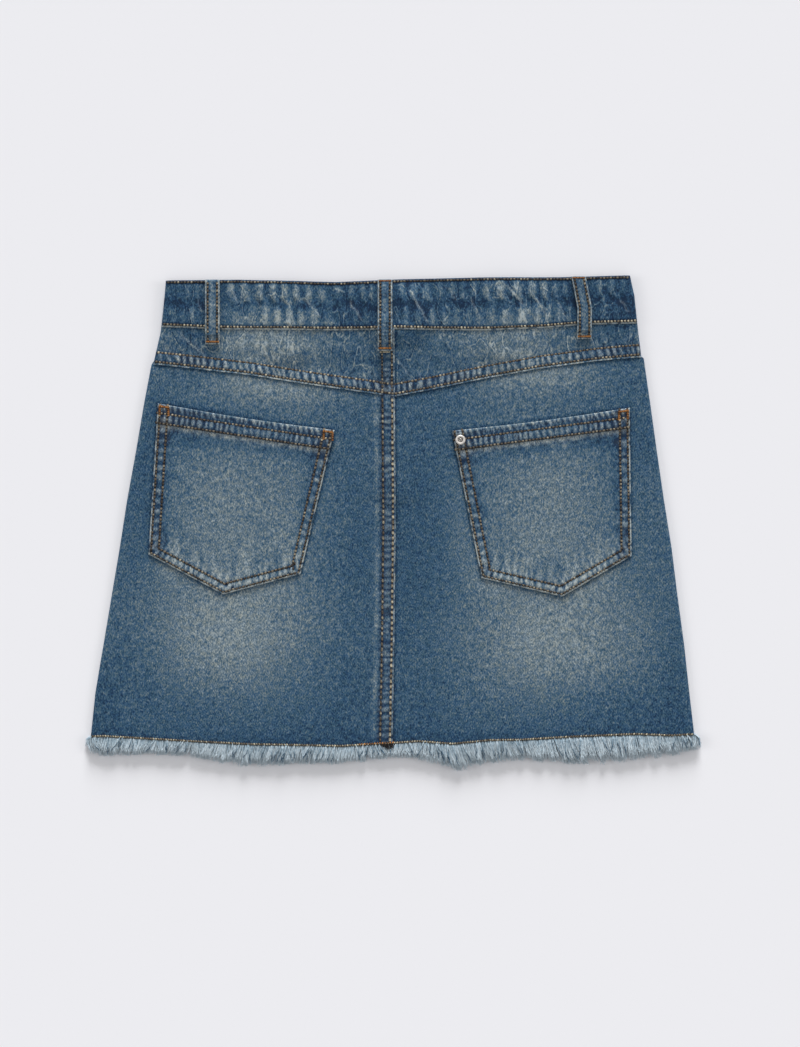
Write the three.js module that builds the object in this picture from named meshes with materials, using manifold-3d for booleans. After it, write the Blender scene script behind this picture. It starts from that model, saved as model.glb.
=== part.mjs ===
// A girl's denim mini skirt with a frayed hem, laid flat on a table on its front, back upwards.
// Millimetres. +X is the wearer's right, +Y runs from hem to waist and +Z is up. The table is z = 0.
// The cloth is a flattened tube: a front layer that rests on the table and a back layer on it, joined at
// the two side seams, where each layer rounds over to meet the other.

import * as THREE from "three";
import Module from "manifold-3d";

const wasm = await Module();
wasm.setup();

// Cloth
const DENIM = 1.1; // one layer of denim
const BAND = 2.2; // the waistband: denim folded double
const FELL = 0.7; // how much thicker a felled seam is than plain denim
const FELL_WIDTH = 9; // from the folded edge of a felled seam to past its second row of stitches
const FELL_RAMP = 1.4; // over which a felled seam thins out
const GAP = 0.3; // between pieces at a seam, and between a piece and what it lies on
const AIR = 0.8; // between the front layer and the back layer
const UNDER_MARGIN = 1.2; // how far past a thing under it the cloth still lies at full height
const SIDE_ROUND = 4; // how far in from the outline the cloth rounds over
const SIDE_ANGLES = [0, Math.PI / 6, Math.PI / 3]; // of the columns on that rounding

// The outline, from hem to waist. It steps in a little at the lower edge of the yoke.
const LEFT_SIDE = [
  { y: -146.5, x: -204.7 },
  { y: -116, x: -201.5 },
  { y: -83.5, x: -196 },
  { y: -50.5, x: -190.5 },
  { y: -18, x: -185 },
  { y: 14.5, x: -180 },
  { y: 47.5, x: -174 },
  { y: 80, x: -168.5 },
  { y: 106.3, x: -163.5 },
  { y: 106.9, x: -162.2 },
  { y: 129, x: -157 },
  { y: 153.5, x: -154.4 },
  { y: 163.5, x: -153.6 },
];
const RIGHT_SIDE = [
  { y: -144.8, x: 205.4 },
  { y: -116, x: 202 },
  { y: -83.5, x: 198.5 },
  { y: -50.5, x: 194 },
  { y: -18, x: 190 },
  { y: 14.5, x: 184.8 },
  { y: 47.5, x: 180 },
  { y: 80, x: 175.5 },
  { y: 111.1, x: 171 },
  { y: 111.7, x: 169.4 },
  { y: 129, x: 167.2 },
  { y: 153.5, x: 164.6 },
  { y: 167, x: 161.6 },
];
// The stitched hem line, and how far the frayed threads reach below it
const HEM = [
  { x: -206, y: -146.2, fray: 10 },
  { x: -195, y: -146, fray: 12.2 },
  { x: -162, y: -147.9, fray: 9.4 },
  { x: -134, y: -149.5, fray: 9.4 },
  { x: -97, y: -151.4, fray: 13.6 },
  { x: -65, y: -152, fray: 13 },
  { x: -35, y: -152.7, fray: 11 },
  { x: 2, y: -150.6, fray: 8.8 },
  { x: 18, y: -149.4, fray: 11.4 },
  { x: 41, y: -151.2, fray: 15.8 },
  { x: 66, y: -148.7, fray: 14 },
  { x: 88, y: -148.4, fray: 12.4 },
  { x: 124, y: -146.2, fray: 17 },
  { x: 166, y: -144.6, fray: 15.6 },
  { x: 190, y: -145.6, fray: 12 },
  { x: 206, y: -144.6, fray: 10 },
];
// The lower edge of the yoke, which dips to the centre back
const YOKE_EDGE = [
  { x: -163.2, y: 106.8 },
  { x: -134.5, y: 103.7 },
  { x: -96.5, y: 99.3 },
  { x: -58.5, y: 93.2 },
  { x: -20.4, y: 87.8 },
  { x: 1.8, y: 84.7 },
  { x: 24.5, y: 88.9 },
  { x: 62.5, y: 96.8 },
  { x: 100.5, y: 103.7 },
  { x: 138.7, y: 108.8 },
  { x: 168.6, y: 111.5 },
];
// The lower edge of the waistband
const WAIST_SEAM = [
  { x: -157, y: 132 },
  { x: -115, y: 130.2 },
  { x: -39, y: 129.5 },
  { x: 0, y: 130 },
  { x: 66, y: 129.5 },
  { x: 104, y: 131.2 },
  { x: 128, y: 133.3 },
  { x: 167, y: 134.3 },
];
// The top edge of the waistband
const WAIST_TOP = [
  { x: -154, y: 163.5 },
  { x: -104, y: 164 },
  { x: -38, y: 162.4 },
  { x: 4, y: 164.2 },
  { x: 59, y: 165.5 },
  { x: 114, y: 165.7 },
  { x: 162, y: 167 },
];
// The folded edge of the centre back seam
const CENTRE_BACK = [
  { y: -152, x: 0.4 },
  { y: -80, x: 1.7 },
  { y: 0, x: 2.6 },
  { y: 85, x: 2 },
  { y: 130, x: 1.6 },
];
const CENTRE_FRONT_X = 2;
const FRONT_DIP = 6; // how much lower the waist is at the centre front than at the centre back
const FRONT_INSET = 1; // how far the front's top edge lies below the back's at the sides

// Gathers that the elastic pulls into the back waistband, in two rows of puffs
const GATHER = { pitch: 8.2, height: 1.2, from: -128, to: 144, fade: 26, least: 0.3, rowShift: 0.4 };
const GATHER_DRIFT = [
  { amount: 0.35, across: 23, start: 0 },
  { amount: 0.22, across: 9.7, start: 1 },
];
const GATHER_STRENGTH = { mean: 0.72, swing: 0.28, across: 13 };
const PUFF_LEAST = 0.3; // the share of a gather's height left along the rows of stitches beside its puffs

// The low soft folds of the panels, which die out towards the waist
const FOLD_HEIGHT = 0.8;
const FOLDS = [
  { share: 0.7, across: 27, along: 80, start: 0.6 },
  { share: 0.3, across: 15, along: -46, start: 2 },
];
const FOLD_FADE = { from: 40, to: 125, by: 0.8 };

// Belt loops, by the middle of each at its top, halfway and at its foot, and how far its foot is below the
// waistband
const LOOP_WIDTH = 10;
const LOOP = 1.5; // a loop's thickness
const LOOP_ARCH = 0.8; // how far a loop stands off the waistband halfway
const LOOP_LIFT = 0.8; // how far a loop's top stands past the waistband's edge
const LOOP_CROWN = 0.25; // how much a loop's middle stands over its edges
const BACK_LOOPS = [
  { name: "loop_back_left", topX: -121.7, midX: -121.7, footX: -121.7, foot: 10.5 },
  { name: "loop_back_centre", topX: -4.7, midX: -4.7, footX: -4.7, foot: 14.6 },
  { name: "loop_back_right", topX: 126.4, midX: 130.5, footX: 130.4, foot: 9.8 },
];
const FRONT_LOOPS = [
  { name: "loop_front_left", x: -72, foot: 11 },
  { name: "loop_front_right", x: 76, foot: 11 },
];

// Patch pockets, by their corners and the point of their foot
const POCKETS = [
  {
    name: "pocket_left",
    topLeft: [-158.9, 80.2],
    topRight: [-38.9, 62],
    footRight: [-62, -35.8],
    point: [-114.4, -49.6],
    footLeft: [-165.3, -22.4],
  },
  {
    name: "pocket_right",
    topLeft: [40.6, 61.6],
    topRight: [161.3, 77.2],
    footRight: [162.7, -23.5],
    point: [115.6, -51.1],
    footLeft: [60.6, -38.5],
  },
];
const POCKET_HEM = { depth: 14, extra: 0.8, ramp: 1.2 }; // the folded hem at a pocket's mouth
const MOUTH_SAG = 1.2;

// Hardware
const RIVET = { x: 46.4, y: 55.3, radius: 3.4, height: 1.5 };
const BUTTON = { x: 5, radius: 8.2, height: 2.2 };
const ZIP = { length: 92, tapeWidth: 22, tape: 0.6, chainWidth: 4.4, chain: 0.9, topEnd: 4 };
const SLIDER = { length: 9, width: 7, height: 1.7 };

// The frayed hem, in locks of threads that are rooted in a narrow strip
const FRAY = { strip: 1.4, thick: 0.9, lift: 0.1, lean: 1.5, splay: 5, splayWithin: 26 };
const LOCK = { width: 2.8, thick: 0.6, root: 0.6, tip: 0.55, narrowest: 0.8, shortest: 0.86, longest: 1.04 };
const BACK_TIP = 1.3; // the height of the back's tips, over the front's
const FRONT_TIP = 0.2; // the height of the front's tips over the table
const LOCKS_BACK = 56; // on each half of the back
const LOCKS_FRONT = 34; // on each half of the front
const FRONT_FRAY_SHORTER = 1.5;

const { lerp, clamp, smoothstep } = THREE.MathUtils;
const QUARTER = Math.PI / 2;
const sum = (values) => values.reduce((total, value) => total + value, 0);

// The value of a table's column at a place, on straight lines between its rows.
function read(rows, key, at, column) {
  let k = 1;
  while (k < rows.length - 1 && rows[k][key] < at) k += 1;
  const [a, b] = [rows[k - 1], rows[k]];
  return lerp(a[column], b[column], clamp((at - a[key]) / (b[key] - a[key]), 0, 1));
}

const outline = (y, side) => read(side < 0 ? LEFT_SIDE : RIGHT_SIDE, "y", y, "x");
const hemLine = (x) => read(HEM, "x", x, "y");
const yokeEdge = (x) => read(YOKE_EDGE, "x", x, "y");
const waistSeam = (x) => read(WAIST_SEAM, "x", x, "y");
const waistTop = (x) => read(WAIST_TOP, "x", x, "y");
const centreBack = (y) => read(CENTRE_BACK, "y", y, "x");
const frontDip = (x) => FRONT_DIP * (1 - smoothstep(Math.abs(x), 20, 150));
const frontWaistSeam = (x) => waistSeam(x) - frontDip(x);
const frontWaistTop = (x) => waistTop(x) - FRONT_INSET - frontDip(x);

// A number from 0 to 1 that looks random but is the same each time.
function scatter(n) {
  const wild = Math.sin(n * 12.9898 + 4.1) * 43758.5453;
  return wild - Math.floor(wild);
}

// How far things under the cloth push it up at a point: fully over a thing and its margin, then less and less
// out to its ramp.
function pushedUp(things, x, y) {
  const rises = things.map((thing) => {
    const off = Math.hypot(
      Math.max(Math.abs(x - thing.x) - thing.halfWidth, 0),
      Math.max(Math.abs(y - thing.y) - thing.halfLength, 0),
    );
    return thing.height * (1 - smoothstep(off, UNDER_MARGIN, thing.ramp));
  });
  return Math.max(...rises);
}

const buttonY = (frontWaistSeam(BUTTON.x) + frontWaistTop(BUTTON.x)) / 2;
const UNDER_FRONT = [
  ...FRONT_LOOPS.map((loop) => {
    const [top, foot] = [frontWaistTop(loop.x), frontWaistSeam(loop.x) - loop.foot];
    return {
      x: loop.x,
      y: (top + foot) / 2,
      halfWidth: LOOP_WIDTH / 2,
      halfLength: (top - foot) / 2,
      height: LOOP + GAP,
      ramp: 16,
    };
  }),
  {
    x: BUTTON.x,
    y: buttonY,
    halfWidth: BUTTON.radius,
    halfLength: BUTTON.radius,
    height: BUTTON.height + GAP,
    ramp: 18,
  },
];
const lift = (x, y) => pushedUp(UNDER_FRONT, x, y);

// The closed zip lies in the air between the layers, so the back rises only by what that air can't take.
const zipTopY = frontWaistSeam(CENTRE_FRONT_X) - 2.5;
const zipRoom = (thick) => GAP + thick + GAP - AIR;
const ZIP_FORMS = [
  { length: ZIP.length, width: ZIP.tapeWidth, below: 0, low: 0, high: ZIP.tape },
  {
    length: ZIP.length - ZIP.topEnd,
    width: ZIP.chainWidth,
    below: ZIP.topEnd,
    low: ZIP.tape / 2,
    high: ZIP.tape + ZIP.chain,
  },
  {
    length: SLIDER.length,
    width: SLIDER.width,
    below: ZIP.topEnd,
    low: ZIP.tape / 2,
    high: ZIP.tape + SLIDER.height,
  },
];
const BETWEEN = ZIP_FORMS.map((form) => ({
  x: CENTRE_FRONT_X,
  y: zipTopY - form.below - form.length / 2,
  halfWidth: form.width / 2 + 2,
  halfLength: form.length / 2 + 8,
  height: zipRoom(form.high),
  ramp: 15,
}));

// The gathers' ridges across the back waistband, from 0 to 1. They stop beside each belt loop, which holds them
// flat.
function gather(x, share) {
  const upperRow = smoothstep(share, 0.5, 0.66);
  const drifts = GATHER_DRIFT.map(({ amount, across, start }) => amount * Math.sin(x / across + start));
  const phase = x / GATHER.pitch + sum(drifts) + GATHER.rowShift * upperRow;
  const ridge = 0.5 - 0.5 * Math.cos(2 * Math.PI * phase);
  const { mean, swing, across } = GATHER_STRENGTH;
  const strength = mean + swing * Math.sin(x / across + 2 * share);
  const taper =
    smoothstep(x, GATHER.from - GATHER.fade, GATHER.from) *
    (1 - smoothstep(x, GATHER.to, GATHER.to + GATHER.fade));
  const nearLoop = Math.min(...BACK_LOOPS.map((loop) => Math.abs(x - loop.midX)));
  const free = smoothstep(nearLoop, LOOP_WIDTH / 2 + 1, LOOP_WIDTH / 2 + 6);
  const puff = lerp(PUFF_LEAST, 1, Math.abs(Math.sin(2 * Math.PI * share)));
  return ridge * strength * Math.max(taper, GATHER.least) * free * puff;
}

// The soft folds of the back panels, from 0 to 1.
function softFold(x, y) {
  const waves = FOLDS.map(({ share, across, along, start }) => {
    const wave = Math.sin(x / across + y / along + start);
    return (share * (1 + wave)) / 2;
  });
  return sum(waves) * (1 - FOLD_FADE.by * smoothstep(y, FOLD_FADE.from, FOLD_FADE.to));
}

// The inner face of the back layer, which lies on the front layer and on what is between them.
function backInside(x, y) {
  const seam = frontWaistSeam(x);
  const frontThick = lerp(DENIM, BAND, smoothstep(y, seam - 24, seam - 3));
  return frontThick + lift(x, y) + pushedUp(BETWEEN, x, y) + AIR + FOLD_HEIGHT * softFold(x, y);
}

// The height at which the two layers meet at the sides.
const sideSeamZ = (y) => lerp(1.5, 2.5, smoothstep(y, 96, 132));

// How much thicker the back is in its felled seams: along the yoke's lower edge and the left pieces' centre
// edge.
function felled(x, y, { yoke, left }) {
  const overEdge = yoke ? y - yokeEdge(x) : Infinity;
  const overCentre = left ? centreBack(y) - x : Infinity;
  return FELL * (1 - smoothstep(Math.min(overEdge, overCentre), FELL_WIDTH - FELL_RAMP, FELL_WIDTH));
}

function signedVolume(points, faces) {
  const corner = (n) => new THREE.Vector3(points[3 * n], points[3 * n + 1], points[3 * n + 2]);
  let six = 0;
  for (let k = 0; k < faces.length; k += 3)
    six += corner(faces[k]).dot(corner(faces[k + 1]).cross(corner(faces[k + 2])));
  return six / 6;
}

// A closed wall from a grid: at(column, row, inner) is a point of its outer face, or of its inner face where
// inner is 1.
function wall(columns, rows, at) {
  const points = [];
  for (const inner of [0, 1])
    for (let i = 0; i < columns; i += 1)
      for (let j = 0; j < rows; j += 1) points.push(...at(i, j, inner));
  const id = (i, j, inner = 0) => inner * columns * rows + i * rows + j;
  const faces = [];
  const quad = (a, b, c, d) => faces.push(a, b, c, a, c, d);
  for (let i = 0; i + 1 < columns; i += 1)
    for (let j = 0; j + 1 < rows; j += 1) {
      quad(id(i, j), id(i + 1, j), id(i + 1, j + 1), id(i, j + 1));
      quad(id(i, j, 1), id(i, j + 1, 1), id(i + 1, j + 1, 1), id(i + 1, j, 1));
    }
  const top = rows - 1;
  for (let i = 0; i + 1 < columns; i += 1) {
    quad(id(i, 0), id(i, 0, 1), id(i + 1, 0, 1), id(i + 1, 0));
    quad(id(i, top), id(i + 1, top), id(i + 1, top, 1), id(i, top, 1));
  }
  const end = columns - 1;
  for (let j = 0; j + 1 < rows; j += 1) {
    quad(id(0, j), id(0, j + 1), id(0, j + 1, 1), id(0, j, 1));
    quad(id(end, j), id(end, j, 1), id(end, j + 1, 1), id(end, j + 1));
  }
  if (signedVolume(points, faces) < 0) faces.reverse();
  const geometry = new THREE.BufferGeometry();
  geometry.setAttribute("position", new THREE.Float32BufferAttribute(points, 3));
  geometry.setIndex(faces);
  geometry.computeVertexNormals();
  return geometry;
}

// Columns of a cloth grid. On the rounding, the outer face keeps to the outline and the inner face turns
// inside it.
const roundColumns = (side) =>
  SIDE_ANGLES.map((angle) => ({
    angle,
    x: (y, depth) => outline(y, side) - side * (depth + (SIDE_ROUND - depth) * (1 - Math.cos(angle))),
  }));
const flatColumns = (from, to, count) =>
  Array.from({ length: count }, (_, k) => ({
    angle: QUARTER,
    x: (y) => lerp(from(y), to(y), k / (count - 1)),
  }));
const offsetColumns = (from, offsets) =>
  offsets.map((offset) => ({ angle: QUARTER, x: (y) => from(y) + offset }));
const pastRounding = (side) => (y) => outline(y, side) - side * SIDE_ROUND;

// Rows of a cloth grid: at set heights over its lower edge, then spread evenly up to its upper edge.
function clothRows(lower, upper, heights, count) {
  const last = heights.at(-1);
  const spread = Array.from(
    { length: count },
    (_, k) => (x) => lerp(lower(x) + last, upper(x), (k + 1) / count),
  );
  return [...heights.map((height) => (x) => lower(x) + height), ...spread];
}

// Where a grid's column and row cross, as each is a function of the other.
function crossing(column, row) {
  let x = 0;
  let y = row(x);
  for (let turn = 0; turn < 5; turn += 1) {
    x = column.x(y, 0);
    y = row(x);
  }
  return [x, y];
}

// A cloth piece of one layer, from the height of its outer face and its thickness at a place. up is 1 on the
// back layer and -1 on the front.
function clothPiece({ columns, rows, up, face, thick }) {
  return wall(columns.length, rows.length, (i, j, inner) => {
    const column = columns[i];
    const [x, y] = crossing(column, rows[j]);
    const depth = inner * thick(x, y);
    const seam = sideSeamZ(y);
    const reach = (up * (face(x, y) - seam) - depth) * Math.sin(column.angle);
    const leastReach = column.angle < QUARTER ? GAP / 2 : -Infinity;
    return [column.x(y, depth), y, seam + up * Math.max(leastReach, reach)];
  });
}

const FELL_STEPS = [0, FELL_WIDTH - FELL_RAMP, FELL_WIDTH];

// The columns of the back below the waistband. The left pieces lap over the right ones at the centre back.
function backColumns(side) {
  const left = side < 0;
  const seam = left ? centreBack : (y) => centreBack(y) + GAP;
  const besideSeam = left ? FELL_STEPS.map((width) => -width).reverse() : [0];
  const flatEnd = (y) => seam(y) + side * (FELL_WIDTH + 4);
  return [
    ...roundColumns(side),
    ...flatColumns(pastRounding(side), flatEnd, 13),
    ...offsetColumns(seam, besideSeam),
  ];
}

const frontColumns = (side) => [
  ...roundColumns(side),
  ...flatColumns(pastRounding(side), () => CENTRE_FRONT_X + (side * GAP) / 2, 19),
];

// A piece of the back below the waistband.
function backPiece({ side, lower, upper, yoke, rowCount }) {
  const thick = (x, y) => DENIM + felled(x, y, { yoke, left: side < 0 });
  return clothPiece({
    columns: backColumns(side),
    rows: clothRows(lower, upper, yoke ? FELL_STEPS : [0], rowCount),
    up: 1,
    face: (x, y) => backInside(x, y) + thick(x, y),
    thick,
  });
}

// Half of the front below the waistband. Its outer face rests on the table.
function frontPiece(side) {
  const upper = (x) => frontWaistSeam(x) - GAP;
  const nearWaist = [40, 32, 26, 20, 14, 7, 0];
  return clothPiece({
    columns: frontColumns(side),
    rows: [
      ...clothRows(hemLine, (x) => upper(x) - 60, [0], 4),
      ...nearWaist.map((below) => (x) => upper(x) - below),
    ],
    up: -1,
    face: lift,
    thick: () => DENIM,
  });
}

const shareOfBand = (x, y) => clamp((y - waistSeam(x)) / (waistTop(x) - waistSeam(x)), 0, 1);
const bandTop = (x, y) => backInside(x, y) + GATHER.height * gather(x, shareOfBand(x, y)) + BAND;

function waistbandBack() {
  return clothPiece({
    columns: [
      ...roundColumns(-1),
      ...flatColumns(pastRounding(-1), pastRounding(1), 160),
      ...roundColumns(1).reverse(),
    ],
    rows: clothRows(waistSeam, waistTop, [0], 4),
    up: 1,
    face: bandTop,
    thick: () => BAND,
  });
}

// The front waistband's left half runs past the centre front to carry the button.
function waistbandFront(side) {
  const end = BUTTON.x + BUTTON.radius + 4 + (side > 0 ? GAP : 0);
  return clothPiece({
    columns: [...roundColumns(side), ...flatColumns(pastRounding(side), () => end, 28)],
    rows: clothRows(frontWaistSeam, frontWaistTop, [0], 4),
    up: -1,
    face: lift,
    thick: () => BAND,
  });
}

// The top of the back layer without its pockets and loops.
function backTop(x, y) {
  if (y >= waistSeam(x)) return bandTop(x, y);
  const seams = { yoke: y > yokeEdge(x), left: x < centreBack(y) };
  return backInside(x, y) + DENIM + felled(x, y, seams);
}

// The highest cloth under a pad of that half width and half length.
function highestUnder(x, y, halfWidth, halfLength) {
  const spots = [-1, -0.5, 0, 0.5, 1];
  const heights = spots.flatMap((a) => spots.map((b) => backTop(x + a * halfWidth, y + b * halfLength)));
  return Math.max(...heights);
}

function backLoop(loop) {
  const top = waistTop(loop.topX) + LOOP_LIFT;
  const foot = waistSeam(loop.footX) - loop.foot;
  const rows = 12;
  const step = (top - foot) / (rows - 1);
  return wall(3, rows, (i, j, inner) => {
    const share = j / (rows - 1);
    const middle =
      share < 0.5 ? lerp(loop.footX, loop.midX, 2 * share) : lerp(loop.midX, loop.topX, 2 * share - 1);
    const y = lerp(foot, top, share);
    const arch = LOOP_ARCH * Math.sin(Math.PI * share);
    const under = highestUnder(middle, y, LOOP_WIDTH / 2, step) + GAP + arch;
    const crown = i === 1 ? LOOP_CROWN : 0;
    return [middle + (i - 1) * (LOOP_WIDTH / 2), y, under + (inner ? 0 : LOOP + crown)];
  });
}

// A loop of the front lies flat on the table, under the cloth.
function frontLoop(loop) {
  const top = frontWaistTop(loop.x);
  const foot = frontWaistSeam(loop.x) - loop.foot;
  return wall(2, 2, (i, j, inner) => [
    loop.x + (i - 0.5) * LOOP_WIDTH,
    lerp(foot, top, j),
    inner ? 0 : LOOP,
  ]);
}

// A patch pocket on its panel: columns run from its mouth to the two lines of its pointed foot.
function pocket({ topLeft, topRight, footLeft, footRight, point }) {
  const half = 5;
  const pointShare = (point[0] - footLeft[0]) / (footRight[0] - footLeft[0]);
  const shares = [];
  for (let k = 0; k < half; k += 1) shares.push((pointShare * k) / half);
  for (let k = 0; k <= half; k += 1) shares.push(lerp(pointShare, 1, k / half));
  const { depth, extra, ramp } = POCKET_HEM;
  const hemRows = [0, depth / 2, depth - ramp, depth];
  const lowerRows = 5;
  const between = (a, b, s) => [lerp(a[0], b[0], s), lerp(a[1], b[1], s)];
  return wall(shares.length, hemRows.length + lowerRows, (i, j, inner) => {
    const s = shares[i];
    const mouth = between(topLeft, topRight, s);
    mouth[1] -= MOUTH_SAG * Math.sin(Math.PI * s);
    const foot =
      s < pointShare
        ? between(footLeft, point, s / pointShare)
        : between(point, footRight, (s - pointShare) / (1 - pointShare));
    const length = Math.hypot(foot[0] - mouth[0], foot[1] - mouth[1]);
    const down = hemRows[j] ?? lerp(depth, length, (j - hemRows.length + 1) / lowerRows);
    const [x, y] = between(mouth, foot, down / length);
    const thick = DENIM + (down < depth ? extra : 0);
    return [x, y, backTop(x, y) + GAP + (inner ? 0 : thick)];
  });
}

// A round piece from its profile, pairs of radius and height, which starts and ends on the axis.
const turned = (profile, segments) =>
  new THREE.LatheGeometry(
    profile.map(([radius, height]) => new THREE.Vector2(radius, height)),
    segments,
  ).rotateX(QUARTER);

// A ringed rivet with a nub, through the pocket's corner.
function rivet() {
  const { radius: r, height: h } = RIVET;
  const profile = [
    [0, 0],
    [r, 0],
    [r, 0.35 * h],
    [0.92 * r, 0.7 * h],
    [0.74 * r, 0.85 * h],
    [0.58 * r, 0.7 * h],
    [0.5 * r, 0.5 * h],
    [0.34 * r, 0.55 * h],
    [0.24 * r, h],
    [0, h],
  ];
  const z = highestUnder(RIVET.x, RIVET.y, r, r) + GAP + DENIM + POCKET_HEM.extra + GAP;
  return turned(profile, 16).translate(RIVET.x, RIVET.y, z);
}

// The waist button lies face down on the table, on its rim.
function button() {
  const { radius: r, height: h } = BUTTON;
  const profile = [
    [0, 0.16 * h],
    [0.66 * r, 0.16 * h],
    [0.78 * r, 0],
    [0.94 * r, 0],
    [r, 0.3 * h],
    [0.96 * r, 0.6 * h],
    [0.6 * r, 0.75 * h],
    [0.45 * r, h],
    [0, h],
  ];
  return turned(profile, 24).translate(BUTTON.x, buttonY, 0);
}

// A closed mesh as a manifold-3d solid.
function solid(geometry) {
  return new wasm.Manifold(
    new wasm.Mesh({
      numProp: 3,
      vertProperties: new Float32Array(geometry.getAttribute("position").array),
      triVerts: new Uint32Array(geometry.index.array),
    }),
  );
}

// Closed meshes joined into one.
function joined(geometries) {
  const { numProp, numVert, vertProperties, triVerts } = geometries
    .map(solid)
    .reduce((whole, next) => whole.add(next))
    .getMesh();
  const points = new Float32Array(numVert * 3);
  for (let k = 0; k < numVert; k += 1)
    points.set(vertProperties.subarray(k * numProp, k * numProp + 3), 3 * k);
  const geometry = new THREE.BufferGeometry();
  geometry.setAttribute("position", new THREE.BufferAttribute(points, 3));
  geometry.setIndex(new THREE.BufferAttribute(triVerts, 1));
  geometry.computeVertexNormals();
  return geometry;
}

// The closed zip behind the centre front seam: tape, chain and the slider at its top, in one piece on the
// front layer.
function zip() {
  const strips = ZIP_FORMS.map(({ length, width, below, low, high }) => {
    const steps = Math.max(2, Math.round(length / 10));
    return wall(3, steps + 1, (i, j, inner) => {
      const x = CENTRE_FRONT_X + (i - 1) * (width / 2);
      const y = zipTopY - below - length * (1 - j / steps);
      return [x, y, lift(x, y) + DENIM + GAP + (inner ? low : high)];
    });
  });
  return joined(strips);
}

// The frayed edge of one half of a layer: a narrow strip past the stitched hem, with locks of threads rooted in
// it. The strip follows its panel's own columns, from where the side stops rounding over.
function fray({ side, columns, bottom, tipBottom, locks, shorter, seed }) {
  const edge = columns.slice(SIDE_ANGLES.length - 1).map((column) => {
    const [x, y] = crossing(column, hemLine);
    return { x, y: y - GAP };
  });
  if (side > 0) edge.reverse();
  const strip = wall(edge.length, 2, (i, j, under) => {
    const { x, y } = edge[i];
    return [x, y - j * FRAY.strip, bottom(x) + (under ? 0 : FRAY.thick)];
  });
  const [from, to] = [edge[0].x, edge.at(-1).x];
  const lock = (n) => {
    const rootX = lerp(from, to, (n + 0.5) / locks);
    const root = read(edge, "x", rootX, "y") - FRAY.strip + LOCK.root;
    const halfWidth = (LOCK.width / 2) * lerp(LOCK.narrowest, 1, scatter(n + seed));
    const nearSide = smoothstep(Math.abs(outline(root, side) - rootX), 0, FRAY.splayWithin);
    const outwards = side * FRAY.splay * (1 - nearSide);
    const lean = FRAY.lean * (scatter(1.7 * n + seed) - 0.5) + outwards;
    const reach = read(HEM, "x", rootX, "fray") - shorter;
    const tip = hemLine(rootX) - reach * lerp(LOCK.shortest, LOCK.longest, scatter(3.1 * n + seed));
    return wall(2, 2, (i, share, under) => {
      const narrowed = lerp(1, LOCK.tip, share);
      const low = lerp(bottom(rootX) + LOCK.thick / 4, tipBottom, share);
      return [
        rootX + lean * share + (2 * i - 1) * halfWidth * narrowed,
        lerp(root, tip, share),
        low + (under ? 0 : LOCK.thick * narrowed),
      ];
    });
  };
  return joined([strip, ...Array.from({ length: locks }, (_, n) => lock(n))]);
}

const material = (color, roughness, metalness = 0) =>
  new THREE.MeshStandardMaterial({ color, roughness, metalness });
const denim = material(0x42607c, 0.9);
const frayed = material(0x8296a4, 0.95);
const metal = material(0xb9b4ab, 0.3, 1);
const tape = material(0x2a3d57, 0.85);

const skirt = new THREE.Group();
function add(name, geometry, finish) {
  const mesh = new THREE.Mesh(geometry, finish);
  mesh.name = name;
  skirt.add(mesh);
}

for (const [word, side] of [["left", -1], ["right", 1]]) {
  const panel = { side, lower: hemLine, upper: (x) => yokeEdge(x) - GAP, yoke: false, rowCount: 11 };
  const yoke = { side, lower: yokeEdge, upper: (x) => waistSeam(x) - GAP, yoke: true, rowCount: 5 };
  add(`back_${word}`, backPiece(panel), denim);
  add(`yoke_${word}`, backPiece(yoke), denim);
  add(`front_${word}`, frontPiece(side), denim);
  add(`waistband_front_${word}`, waistbandFront(side), denim);
  const back = {
    side,
    columns: backColumns(side),
    bottom: (x) => backInside(x, hemLine(x)) + FRAY.lift,
    tipBottom: BACK_TIP,
    locks: LOCKS_BACK,
    shorter: 0,
    seed: 11 + side,
  };
  const front = {
    side,
    columns: frontColumns(side),
    bottom: () => FRAY.lift,
    tipBottom: FRONT_TIP,
    locks: LOCKS_FRONT,
    shorter: FRONT_FRAY_SHORTER,
    seed: 37 + side,
  };
  add(`fray_back_${word}`, fray(back), frayed);
  add(`fray_front_${word}`, fray(front), frayed);
}
add("waistband_back", waistbandBack(), denim);
for (const shape of POCKETS) add(shape.name, pocket(shape), denim);
for (const loop of BACK_LOOPS) add(loop.name, backLoop(loop), denim);
for (const loop of FRONT_LOOPS) add(loop.name, frontLoop(loop), denim);
add("rivet", rivet(), metal);
add("waist_button", button(), metal);
add("zip", zip(), tape);

export default skirt;
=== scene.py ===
# A girl's denim mini skirt with a frayed hem, laid flat on its front and seen from above.
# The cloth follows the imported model's own formulas. Sizes are in millimetres, as on a pattern, and MM
# turns them into Blender's metres where a mesh is made.
# +X is the wearer's right, +Y runs from hem to waist, +Z is up.

import math

import bmesh
import bpy
import numpy as np
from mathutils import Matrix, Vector


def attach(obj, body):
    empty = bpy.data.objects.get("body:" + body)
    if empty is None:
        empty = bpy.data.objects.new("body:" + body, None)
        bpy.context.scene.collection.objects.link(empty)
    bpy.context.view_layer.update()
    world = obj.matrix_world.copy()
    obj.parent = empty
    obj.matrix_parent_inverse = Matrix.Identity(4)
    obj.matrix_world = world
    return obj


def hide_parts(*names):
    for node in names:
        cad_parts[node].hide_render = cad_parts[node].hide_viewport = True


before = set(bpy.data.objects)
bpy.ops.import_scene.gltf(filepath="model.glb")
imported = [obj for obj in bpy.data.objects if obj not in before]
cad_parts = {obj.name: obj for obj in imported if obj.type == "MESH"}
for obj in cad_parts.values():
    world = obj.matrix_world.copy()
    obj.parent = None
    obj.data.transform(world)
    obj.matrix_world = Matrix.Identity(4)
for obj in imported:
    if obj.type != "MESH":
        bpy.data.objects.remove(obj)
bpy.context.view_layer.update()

MM = 0.001

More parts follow.
